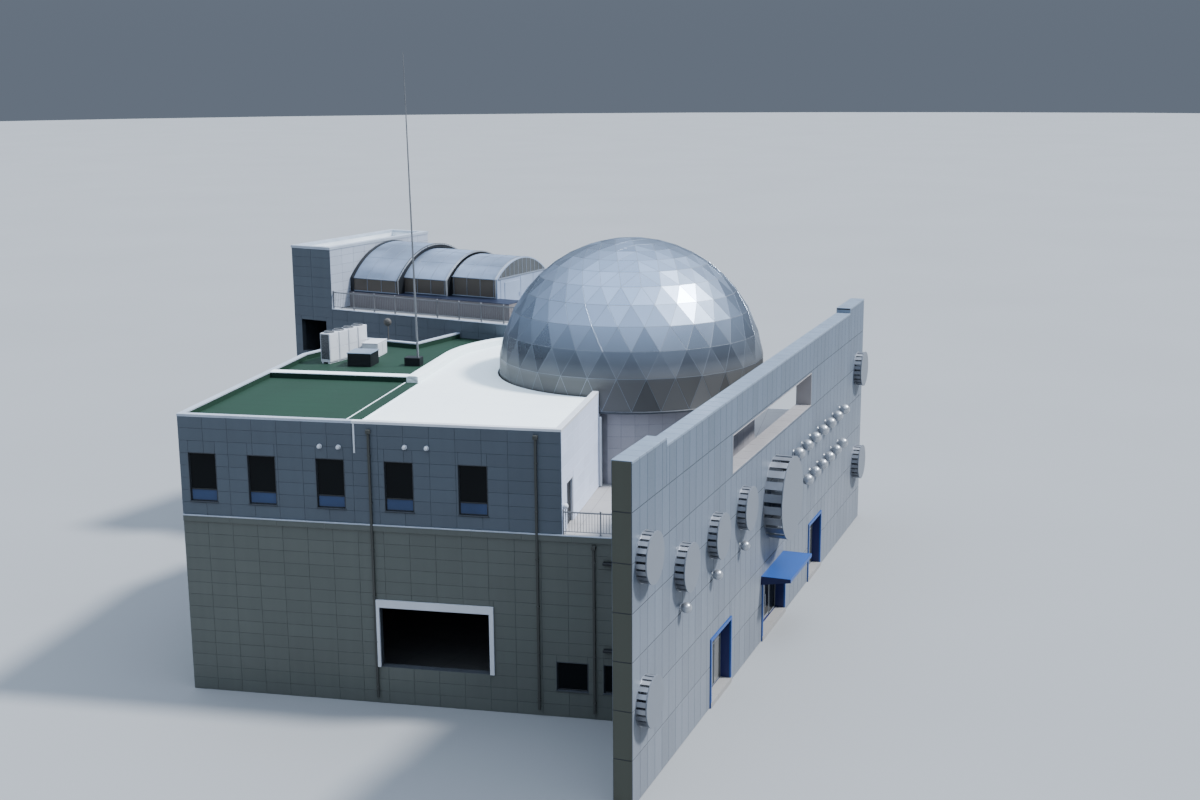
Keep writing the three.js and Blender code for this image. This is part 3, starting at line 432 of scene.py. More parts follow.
class Recipe(Nodes):
    """One procedural material on a Principled shader, in Object coordinates turned into a block's own axes."""

    def __init__(self, name, turn=STRAIGHT):
        self.material = bpy.data.materials.new(name)
        self.material.use_nodes = True
        super().__init__(self.material.node_tree)
        self.shader = self.tree.nodes["Principled BSDF"]
        self.where = self.mapped(self.node("ShaderNodeTexCoord", output="Object"), {"Rotation": (0.0, 0.0, -turn)})

    def mapped(self, vector, inputs):
        return self.node("ShaderNodeMapping", None, {"Vector": vector, **inputs})

    def base(self, roughness, metallic=0.0, gloss=0.5):
        """The values of the sockets that a pattern may then feed."""
        for name, value in (("Roughness", roughness), ("Metallic", metallic), ("Specular IOR Level", gloss)):
            self.shader.inputs[name].default_value = value

    def noise(self, scale, detail, stretch=None):
        where = self.mapped(self.where, {"Scale": stretch}) if stretch else self.where
        return self.node("ShaderNodeTexNoise", None, {"Vector": where, "Scale": scale, "Detail": detail})

    def tone(self):
        return self.node("ShaderNodeAttribute", {"attribute_name": "tone"}, output="Fac")

    def tint(self, level, colour, low, high):
        """From the colour times one factor to the colour times another."""
        return self.mix(level, shade(colour, low), shade(colour, high))

    def joint(self, value, pitch, width):
        """One within half a width of each multiple of the pitch, else nought."""
        return self.maths("PINGPONG", value, pitch / 2) < width / 2

    def bump(self, height, distance, strength):
        self.feed(Normal=self.node(
            "ShaderNodeBump", None, {"Strength": strength, "Distance": distance, "Height": height}))

    def feed(self, **values):
        for name, value in values.items():
            self.tree.links.new(value.socket, self.shader.inputs[name.replace("_", " ")])


def panel_finish(made, colour, streaks=0.1, high=None, patch=0.16):
    """Coated cladding: a tone for each plate, faint upright rain streaks and a fine grain in the gloss.

    Where factors for a high colour are given, the coating turns to it from the portals' heads up to the wall's top: a
    painted reflection that makes the upper wall darker and bluer.
    """
    made.base(0.5, gloss=0.3)
    tone, streak, cloud = made.tone(), made.noise(1.6, 4.0, (3.0, 3.0, 0.12)), made.noise(0.35, 2.0)
    level = (tone - 0.5) * patch + (streak - 0.5) * (streaks * 3) + (cloud - 0.5) * 0.3 + 0.5
    coat = made.tint(level, colour, 0.74, 1.26)
    # Painted reflection: towards the top the coating turns darker and bluer
    if high:
        height = made.split(made.where)[2]
        upper = made.tint(level, shade(colour, *high), 0.74, 1.26)
        coat = made.mix(height * (1 / (SCALE * 10)) - 0.3, coat, upper)
    made.feed(Base_Color=coat, Roughness=made.noise(22.0, 2.0) * 0.16 + 0.42 + tone * 0.05)
    made.bump(made.noise(3.0, 1.0), 0.01, 0.12)


def joint_finish(made, colour):
    """The dull backing that shows in the joints between plates."""
    made.base(0.8)
    made.feed(Base_Color=made.tint(made.noise(4.0, 4.0), colour, 0.6, 1.3))


def paint_finish(made, colour, roughness=0.38):
    """Smooth paint with slight wear: paler where a coarse noise peaks, and a faint orange-peel bump."""
    made.base(roughness, gloss=0.35)
    fade = made.noise(1.1, 5.0)
    made.feed(Base_Color=made.tint(fade, colour, 0.8, 1.2), Roughness=fade * 0.2 + (roughness - 0.1))
    made.bump(made.noise(60.0, 1.0), 0.002, 0.1)


def liner_finish(made, face, inside):
    """Portal trim: bright paint on the rim that stands out of the wall, and navy inside the recess, a painted shade.
    """
    made.base(0.38, gloss=0.35)
    depth, fade = made.split(made.where)[1], made.noise(1.1, 5.0)
    # Painted shade: faces deeper than the wall's face take the navy colour
    deep = depth > float(placed([0, 0.002, 0])[1])
    made.feed(Base_Color=made.mix(deep, made.tint(fade, face, 0.8, 1.2), made.tint(fade, inside, 0.8, 1.2)),
              Roughness=fade * 0.2 + 0.28)


def glass_finish(made, colour, roughness, gloss=0.3):
    """Dark glass seen from outside: glossy, with a slow waviness as toughened sheets have."""
    made.base(roughness, gloss=gloss)
    made.feed(Base_Color=made.tint(made.noise(0.8, 2.0), colour, 0.5, 1.5))
    made.bump(made.noise(1.4, 1.0), 0.01, 0.08)


def membrane_finish(made, colour, pitch, seam_shade, blotch):
    """Roofing sheet: welded seams at a pitch, soft stains and a rough grain."""
    made.base(0.72, gloss=0.12)
    seam = made.joint(made.split(made.where)[0], pitch, 0.02)
    stain = made.noise(0.5, 5.0) * 0.7 + made.noise(5.0, 3.0) * 0.3
    sheet = made.tint((stain - 0.5) * 2.0 + 0.5, colour, 1 - blotch, 1 + blotch)
    made.feed(Base_Color=made.mix(seam, sheet, shade(colour, seam_shade)), Roughness=stain * 0.3 + 0.55)
    made.bump(made.noise(40.0, 3.0) + seam * 0.6, 0.006, 0.3)


def metal_finish(made, colour, roughness, metallic):
    """Bare or galvanised metal with fine brushing and cloudy tarnish."""
    made.base(roughness, metallic)
    cloud, brush = made.noise(2.0, 4.0), made.noise(12.0, 2.0, (1.0, 1.0, 0.1))
    made.feed(Base_Color=made.tint(cloud, colour, 0.8, 1.15),
              Roughness=brush * 0.2 + cloud * 0.1 + (roughness - 0.15))


def dome_finish(made, colour, painted_foot_colours):
    """Satin metal plates: each plate's tone sets its brightness and gloss, and towards the foot they turn darker, a
    painted reflection of dark ground, and duller and less metallic.
    """
    made.base(0.3, 0.9)
    height, tone, film = made.split(made.where)[2], made.tone(), made.noise(0.9, 4.0)
    level = tone * 0.7 + film * 0.3
    plate_colour = made.tint(level, colour, 0.8, 1.2)
    # Painted reflection of dark ground: below this rise the plates turn to the darker foot colours
    rise = made.maths("SMOOTH_MIN", (height - (DOME["equator"] * SCALE + 0.35)) * 0.75, 1.0, 0.1)
    rise = made.maths("MAXIMUM", rise, 0.0)
    dull = 1 - made.maths("MINIMUM", rise * 3.0, 1.0)
    painted_foot = made.mix(level, *painted_foot_colours)
    made.feed(Base_Color=made.mix(rise, painted_foot, plate_colour), Metallic=0.9 - dull * 0.45,
              Roughness=tone * 0.1 + film * 0.08 + 0.22 + dull * 0.22)
    made.bump(made.noise(2.2, 2.0), 0.02, 0.08)


def tile_finish(made, colour):
    """Fired wall tiles: tone by tile, fine speckle and a matt face."""
    made.base(0.6, gloss=0.3)
    speckle = made.noise(30.0, 3.0)
    made.feed(Base_Color=made.tint(made.tone() * 0.3 + speckle * 0.7, colour, 0.9, 1.1),
              Roughness=speckle * 0.2 + 0.5)
    made.bump(speckle, 0.002, 0.2)


def sheet_finish(made, colour, alpha, cloud=0.2):
    """Clear sheet of a sliding roof: glossy under a film of dust, and slightly see-through."""
    made.base(0.35, gloss=0.2)
    dust = made.noise(1.5, 4.0)
    drift = (made.noise(1.1, 3.0, (1.0, 0.35, 1.0)) - 0.5) * 2.4 + 0.5
    made.feed(Base_Color=made.tint(dust * 0.4 + drift * 0.6, colour, 1 - cloud, 1 + cloud),
              Roughness=dust * 0.2 + 0.25, Alpha=dust * 0.15 + (alpha - 0.07))


def drum_finish(made, disc, slat, reach):
    """One solid in two finishes: the front disc is painted as the wall, the slats and ring behind are metal, with
    painted light: paler where they face up and darker where they face down.
    """
    made.base(0.4, 0.5)
    front = made.split(made.where)[1] < float(placed([0, 0.07 - reach, 0])[1])
    cloud = made.noise(3.0, 3.0)
    # Painted light: faces turned up are paler, faces turned down darker
    upwards = made.split(made.node("ShaderNodeTexCoord", output="Normal"))[2]
    metal = made.tint(cloud * 0.4 + upwards * 0.45 + 0.3, slat, 0.3, 1.2)
    painted = made.tint(cloud, disc, 0.83, 0.97)
    made.feed(Base_Color=made.mix(front, metal, painted), Metallic=(1 - front) * 0.75 + 0.05,
              Roughness=front * 0.18 + cloud * 0.1 + 0.27)


def floor_finish(made, colour):
    """Cast floor: fine pitting, trowel clouds and joints every two metres of the real one."""
    made.base(0.75)
    x, y, _ = made.split(made.where)
    joint = made.maths("MAXIMUM", made.joint(x, 1.0, 0.012), made.joint(y, 1.0, 0.012))
    slab = made.tint(made.noise(1.3, 6.0), colour, 0.88, 1.12)
    made.feed(Base_Color=made.mix(joint, slab, shade(colour, 0.6)))
    made.bump(made.noise(50.0, 2.0) - joint, 0.004, 0.25)


def track_finish(made, side, top):
    """The sliding roof's track beams: rendered sides, and a dark steel top that the wheels run on."""
    made.base(0.6)
    steel = made.split(made.where)[2] > (TRACK_TOP - 0.03) * SCALE
    cloud = made.noise(2.0, 4.0)
    made.feed(Base_Color=made.mix(steel, made.tint(cloud, side, 0.85, 1.15), made.tint(cloud, top, 0.7, 1.3)),
              Roughness=cloud * 0.2 + 0.6 - steel * 0.25, Metallic=steel * 0.5)


def colour_property(name, description, default):
    return bpy.props.FloatVectorProperty(
        name=name, description=description, subtype="COLOR", size=3, min=0.0, max=1.0, default=default)


def length_property(name, description, default, low, high):
    return bpy.props.FloatProperty(
        name=name, description=description + ", real size", default=default, min=low, max=high, unit="LENGTH")


class HallColours(bpy.types.PropertyGroup):
    """Base colours of the finishes."""
    wall: colour_property("Wall Panels", "Coated cladding of the screen wall", (0.157, 0.175, 0.206))
    # The block panels are the wall's cladding darkened: painted shade of the blocks' shaded fronts
    facade: colour_property("Block Panels", "Cladding of the main and rear blocks", (0.08, 0.098, 0.12))
    pale: colour_property("Pale Panels", "Light cladding beside the dome and on the tower", (0.56, 0.63, 0.80))
    roof: colour_property("White Roof", "Sheet of the flat roof round the dome", (0.86, 0.95, 1.0))
    green: colour_property("Green Roof", "Sheet of the two lower flat roofs", (0.015, 0.04, 0.027))
    dome: colour_property("Dome", "Plates of the dome", (0.29, 0.36, 0.47))
    blue: colour_property("Blue Trim", "Canopy and portal liners", (0.018, 0.065, 0.24))


class HallSizes(bpy.types.PropertyGroup):
    """Sizes of the details, as on the real building."""
    wall_panel: length_property("Wall Panel Width", "Width of one upright panel of the screen wall", 0.9, 0.3, 2.0)
    block_panel: length_property("Block Panel Length", "Length of one panel of the blocks' cladding", 1.2, 0.4, 3.0)
    plate_relief: length_property("Plate Relief", "How far a panel stands off the wall", 0.02, 0.005, 0.06)
    dome_gap: length_property("Dome Seam", "Half the open seam between two plates of the dome", 0.011, 0.005, 0.1)
    baluster_pitch: length_property("Baluster Pitch", "Distance between the thin bars of the railings",
                                    0.13, 0.08, 0.4)
    rib_pitch: length_property("Vault Rib Pitch", "Distance between the thin ribs of the sliding roof", 0.9, 0.2, 1.5)


# Each finish by the axes that its pattern follows: its maker, its colour or the name of a panel colour, and more
FINISHES = {
    STRAIGHT: {
        # The screen wall's panels darken and turn bluer towards the top: a painted reflection
        "wall_panel": (panel_finish, "wall", 0.1, (0.62, 0.72, 0.82), 0.3),
        "wall_backing": (joint_finish, (0.035, 0.04, 0.047)),
        # The wall's end plates are dark olive: painted shade and a painted reflection of trees
        "wall_end": (panel_finish, (0.06, 0.064, 0.05)),
        "pale_panel": (panel_finish, "pale", 0.03),
        "joint_backing": (joint_finish, (0.05, 0.058, 0.07)),
        "pale_backing": (joint_finish, (0.60, 0.63, 0.70)),
        "tile_joint": (joint_finish, (0.2, 0.2, 0.225)),
        "coping": (metal_finish, (0.19, 0.24, 0.31), 0.5, 0.2),
        "pale_coping": (metal_finish, (0.40, 0.45, 0.53), 0.5, 0.1),
        "opening_lining": (metal_finish, (0.31, 0.295, 0.30), 0.5, 0.1),
        "dome_seam": (metal_finish, (0.24, 0.27, 0.32), 0.45, 0.7),
        "vault_rib": (metal_finish, (0.22, 0.26, 0.33), 0.45, 0.3),
        "rail_steel": (metal_finish, (0.22, 0.225, 0.24), 0.4, 0.7),
        "bright_metal": (metal_finish, (0.42, 0.44, 0.47), 0.3, 0.7),
        "blue_paint": (paint_finish, "blue"),
        # Painted shade: the navy of the canopy's underside and ends
        "navy_paint": (paint_finish, (0.006, 0.009, 0.055)),
        "gable_paint": (paint_finish, (0.28, 0.35, 0.48), 0.45),
        "white_paint": (paint_finish, (0.60, 0.63, 0.68), 0.45),
        "dark_paint": (paint_finish, (0.010, 0.012, 0.015), 0.45),
        "grey_paint": (paint_finish, (0.11, 0.12, 0.135), 0.45),
        "lining_paint": (paint_finish, (0.045, 0.052, 0.063), 0.45),
        "pipe_paint": (paint_finish, (0.05, 0.052, 0.047), 0.5),
        "lamp_paint": (paint_finish, (0.10, 0.092, 0.085), 0.6),
        # The liners' navy inside the recess is painted shade
        "portal_paint": (liner_finish, "blue", (0.010, 0.014, 0.085)),
        "window_film": (glass_finish, (0.025, 0.05, 0.12), 0.2),
        "dark_glass": (glass_finish, (0.003, 0.004, 0.005), 0.12, 0.1),
        "portal_glass": (glass_finish, (0.15, 0.152, 0.15), 0.2),
        # The dome's darker foot colours are a painted reflection of dark ground
        "dome_plate": (dome_finish, "dome", ((0.085, 0.085, 0.083), (0.16, 0.16, 0.16))),
        "wall_tile": (tile_finish, (0.32, 0.31, 0.335)),
        "drum_metal": (drum_finish, "wall", (0.36, 0.38, 0.42), DRUM_REACH["small"]),
        "large_drum_metal": (drum_finish, "wall", (0.36, 0.38, 0.42), DRUM_REACH["large"]),
        "step_stone": (floor_finish, (0.24, 0.235, 0.23)),
    },
    MAIN_TURN: {
        # The block panels' dark colour is painted shade
        "facade_panel": (panel_finish, "facade"),
        "lower_panel": (panel_finish, (0.10, 0.11, 0.10)),
        "white_sheet": (membrane_finish, "roof", 1.0, 0.93, 0.05),
        "green_sheet": (membrane_finish, "green", 0.5, 0.85, 0.14),
        "pale_floor": (floor_finish, (0.33, 0.32, 0.32)),
    },
    REAR_TURN: {
        "rear_panel": (panel_finish, (0.088, 0.107, 0.13)),
        "tower_pale_panel": (panel_finish, (0.36, 0.40, 0.48), 0.05),
        "vault_sheet": (sheet_finish, (0.19, 0.245, 0.34), 0.95, 0.5),
        "vault_side": (sheet_finish, (0.11, 0.097, 0.083), 0.8),
        "arch_glass": (sheet_finish, (0.085, 0.092, 0.097), 0.96),
        "track_beam": (track_finish, (0.15, 0.14, 0.145), (0.015, 0.022, 0.05)),
        "deck_floor": (floor_finish, (0.23, 0.23, 0.235)),
    },
}


def finish_of(finish):
    """The named finish's material, made once."""
    name = "hall_" + finish
    ready = bpy.data.materials.get(name)
    if ready:
        return ready
    turn, (maker, colour, *others) = next((t, group[finish]) for t, group in FINISHES.items() if finish in group)
    if isinstance(colour, str):
        colour = getattr(bpy.context.scene.hall_colours, colour)
    made = Recipe(name, turn)
    maker(made, colour, *others)
    return made.material


NODE_FINISHES = {
    "wall_backing": "screen_wall_near screen_wall_far screen_wall_left_of_entrance screen_wall_over_entrance "
                    "screen_wall_right_of_entrance screen_wall_over_opening",
    "joint_backing": "lower_facade lower_left_wall lower_far_wall upper_facade upper_left_wall upper_far_wall "
                     "upper_corner_wall rear_walls tower_walls",
    "pale_backing": "upper_right_wall",
    "blue_paint": "entrance_canopy",
    "portal_paint": "portal_liner_1 entrance_liner portal_liner_2",
    "dark_glass": "entrance_screen lower_glazing upper_glazing entrance_door_left entrance_door_right",
    "drum_metal": "louvre_drum_1 louvre_drum_2 louvre_drum_3 louvre_drum_4 louvre_drum_6 louvre_drum_7 louvre_drum_8",
    "large_drum_metal": "louvre_drum_5",
    "white_paint": "garage_frame roof_coolers roof_cabinet",
    "gable_paint": "vault_gable gable_skirt",
    "deck_floor": "ground_floor observation_deck",
    "pale_floor": "upper_floor",
    "white_sheet": "white_roof tower_roof",
    "green_sheet": "green_roof",
    "dome_seam": "dome_shell",
    "tile_joint": "theatre_wall",
    "track_beam": "vault_track_near vault_track_far",
    "rail_steel": "deck_railing terrace_railing lightning_mast",
    "dark_paint": "terrace_door plant_box",
}


def line_at(a, b, index, value):
    """The point of the line through a and b whose first or second coordinate has the value."""
    return a + (b - a) * (value - a[index]) / (b[index] - a[index])


def behind_screen(u):
    """A point just inside the screen wall's back where it crosses the main block at a given u."""
    return u, (WALL["thick"] - u * math.sin(MAIN_TURN)) / math.cos(MAIN_TURN)


def at_height(points, z):
    """Plan points with one height."""
    points = np.asarray(points, float)
    return np.concatenate([points, np.full((len(points), 1), z)], 1)


REAR_CORNER, REAR_FRONT_FAR, REAR_SIDE_FAR = rotated(
    [(REAR["front"], REAR["right"]), (REAR["front"], REAR["left"]), (REAR["back"], REAR["right"])],
    REAR_TURN - MAIN_TURN)
FASCIA_END = line_at(REAR_CORNER, REAR_FRONT_FAR, 1, 16.2)
FAR_REAR_CORNER = line_at(REAR_CORNER, REAR_SIDE_FAR, 0, MAIN["far"])
LEFT_EDGE = [tuple(FASCIA_END), (27.3, 17.5), (28.3, 20.8), (SIDE_END, MAIN["left"]), CORNER]
LEFT_SIDES = list(zip(LEFT_EDGE, LEFT_EDGE[1:]))


def hall_arc(radius):
    """The hall's round end, from above its centre round to the front of the rear block."""
    along = unit(REAR_FRONT_FAR - REAR_CORNER)
    offset = REAR_CORNER - np.array(HALL_ARC)
    half = offset @ along
    end = offset + along * (-half + math.sqrt(half * half - offset @ offset + radius * radius))
    angle = np.linspace(math.pi / 2, math.atan2(end[1], end[0]), 25)
    return HALL_ARC + radius * circle(angle)


class HallOperator:
    """Shared by all the operators."""
    bl_options = {"REGISTER", "UNDO"}


class HALL_OT_finishes(HallOperator, bpy.types.Operator):
    """Give each solid that stays in view its procedural finish"""
    bl_idname = "hall.finishes"
    bl_label = "Finish Solids"

    def execute(self, context):
        for finish, nodes in NODE_FINISHES.items():
            for node in nodes.split():
                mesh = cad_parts[node].data
                mesh.materials.clear()
                mesh.materials.append(finish_of(finish))
        return {"FINISHED"}


class HALL_OT_screen_wall(HallOperator, bpy.types.Operator):
    """Panel the screen wall in courses, line its opening and cap its top"""
    bl_idname = "hall.screen_wall"
    bl_label = "Screen Wall"

    def execute(self, context):
        size = context.scene.hall_sizes
        length, thick, end = WALL["length"], WALL["thick"], WALL["bookend"]
        holes = [(a, b, -1, h) for a, b, h in (*PORTALS, ENTRANCE)]
        holes += [OPENING, (end, length - end, WALL["top"], 99.0)]
        mirrored = [(length - b, length - a, c, d) for a, b, c, d in holes]
        plate = (size.plate_relief, *WALL_GAP)
        clad_piece("screen_wall_panels", "wall_panel", (size.wall_panel, *plate), [
            ((0, 0), (length, 0), WALL_LEVELS, 3, *holes),
            ((length, thick), (0, thick), WALL_LEVELS, 4, *mirrored)])
        # End plates in painted shade, with a painted reflection of trees
        clad_piece("screen_wall_end_panels", "wall_end", (thick, *plate), [
            ((0, thick), (0, 0), WALL_LEVELS, 5),
            ((length, 0), (length, thick), WALL_LEVELS, 6)])
        self.line_opening(-0.03, thick + 0.03)
        self.cap(length, thick, end)
        return {"FINISHED"}

    def line_opening(self, *deep):
        """Thin sheets in eleven lengths on the opening's sill and head, and one on each side."""
        low, high, sill, head = OPENING
        steps, sheet = np.linspace(low, high, 12), 0.04
        rows = [row for z in (sill, head - sheet) for row in boards(steps, 0.01, *deep, z, z + sheet)]
        rows += [[x, x + 0.03, *deep, sill, head] for x in (low, high - 0.03)]
        make_piece("opening_lining", blocks(rows), "opening_lining")

    def cap(self, length, thick, end):
        """Metal caps in even lengths over the wall's three tops, and a sheet where one top steps up to the next."""
        edges, tops = (0.0, end, length - end, length), (WALL["bookend_top"], WALL["top"], WALL["bookend_top"])
        proud, above, below, sheet = 0.035, 0.03, 0.09, 0.012
        rows = []
        for start, stop, top in zip(edges, edges[1:], tops):
            steps = np.linspace(start, stop, round((stop - start) / 0.9) + 1)
            rows += boards(steps, 0.008, -proud, thick + proud, top - below, top + above)
        low, high = WALL["top"] + above, WALL["bookend_top"] - below
        rows += [[a, a + sheet, -0.03, thick + 0.03, low, high] for a in (end, length - end - sheet)]
        make_piece("screen_wall_coping", blocks(rows, 0.015), "coping")


class HALL_OT_wall_fittings(HallOperator, bpy.types.Operator):
    """Hang the rows of small spheres on their stubs"""
    bl_idname = "hall.wall_fittings"
    bl_label = "Wall Fittings"

    def execute(self, context):
        rows = []
        for places, z, r in SPHERE_ROWS:
            stub = [[0.5 * r, -0.045], [0.6 * r, -0.045], [0.6 * r, -0.018], [0.0, -0.018]]
            ball = revolved([*bow(r, r, math.pi * 0.85, 14, -0.05 - r), *stub], 24, "y")
            rows.append(repeated(ball, [[x, 0, z] for x in places]))
        make_piece("wall_spheres", joined(*rows), "bright_metal", smooth=True, weld=WELD)
        return {"FINISHED"}


class HALL_OT_entrance(HallOperator, bpy.types.Operator):
    """Glaze the portals, lay their steps, frame the entrance screen and doors, and sheet the canopy's underside and
    ends in painted shade
    """
    bl_idname = "hall.entrance"
    bl_label = "Entrance"

    def execute(self, context):
        panes, bars = [], []
        glass, bar, half = 0.47, 0.06, 0.03
        for left, right, head in PORTALS:
            a, b, top = left + JAMB, right - JAMB, head - LINTEL
            panes += [[a, b, *deep, GLASS_FOOT, top] for deep in ((glass, 0.497), (0.583, 0.61))]
            uprights = (a + half, *np.linspace(a, b, 4)[1:-1], b - half)
            bars += [[x - half, x + half, 0.43, glass, GLASS_FOOT, top] for x in uprights]
            bars += [[a, b, 0.44, glass, z, z + bar] for z in (GLASS_FOOT, 2.3, top - bar)]
        make_piece("portal_panes", blocks(panes, 0.005), "portal_glass")
        make_piece("portal_bars", blocks(bars, 0.008), "grey_paint")
        self.steps()
        self.screen()
        self.doors()
        self.canopy()
        return {"FINISHED"}

    def steps(self):
        """A stone over each portal's sill and its front face, between the jambs."""
        spans = [(left, right) for left, right, _ in (*PORTALS, ENTRANCE)]
        rows = [[a + 0.01, b - 0.01, -0.1, -0.081, 0.0, STEP_TOP + 0.006] for a, b in spans]
        rows += [[a + JAMB, b - JAMB, -0.08, 0.425, STEP_TOP + 0.0006, STEP_TOP + 0.006] for a, b in spans]
        make_piece("portal_steps", blocks(rows, 0.004), "step_stone")

    def screen(self):
        """Bars on both faces of the glass: four uprights, two rails across and a foot rail on each side."""
        left, right, top = ENTRANCE[0] + JAMB, ENTRANCE[1] - JAMB, ENTRANCE[2] - LINTEL
        middle, bar = (left + right) / 2, 0.06
        door_left, door_right = middle - 1.0, middle + 1.0
        rows = []
        for deep in ((0.46, 0.499), (0.581, 0.62)):
            rows += [[x, x + bar, *deep, GLASS_FOOT, top] for x in (left, door_left - bar, door_right, right - bar)]
            rows += [[left, right, *deep, z, z + bar] for z in (top - bar, 2.46)]
            rows += [[a, b, *deep, GLASS_FOOT, 0.34] for a, b in ((left, door_left), (door_right, right))]
        make_piece("entrance_screen_bars", blocks(rows, 0.008), "grey_paint")

    def doors(self):
        """Each leaf's two stiles and two rails on both its faces, and its pull bars on pins."""
        middle = (ENTRANCE[0] + ENTRANCE[1]) / 2
        foot, head, bar, kick = 0.28, 2.42, 0.07, 0.16
        for side, name in ((-1, "left"), (1, "right")):
            a, b = sorted((middle + side * 0.018, middle + side * 0.96))
            rows = []
            for deep in ((0.489, 0.4995), (0.5505, 0.561)):
                rows += [[x, x + bar, *deep, foot, head] for x in (a, b - bar)]
                rows += [[a + bar, b - bar, *deep, *span] for span in ((foot, foot + kick), (head - bar, head))]
            x = middle + side * 0.13
            bars = rods(*([[x, y, z] for y in (0.45, 0.60)] for z in (0.95, 1.65)), 0.014)
            pins = rods(*([[x, y, z] for z in (1.05, 1.55)] for y in (0.45, 0.60)), 0.009)
            make_piece("entrance_door_%s_frame" % name, joined(blocks(rows, 0.004), bars, pins),
                       "bright_metal", body="door_" + name)

    def canopy(self):
        """Navy sheets under the wedge and on both its ends: painted shade."""
        left, right, reach, low, high, edge = CANOPY.values()
        lip, sheet, gap = high - edge, 0.012, 0.001
        end = [[reach, lip], [0.002, low], [0.002, high], [reach, high]]
        under = [[reach - 0.01, lip - sheet], [0.09, low + 0.005], [0.09, low + 0.015], [reach - 0.01, lip - gap]]
        spans = [(end, left - sheet, left - gap), (end, right + gap, right + sheet), (under, left, right)]
        sheets = [swept(profile, [[a, 0, 0], [b, 0, 0]]) for profile, a, b in spans]
        make_piece("canopy_lining", joined(*sheets), "navy_paint")


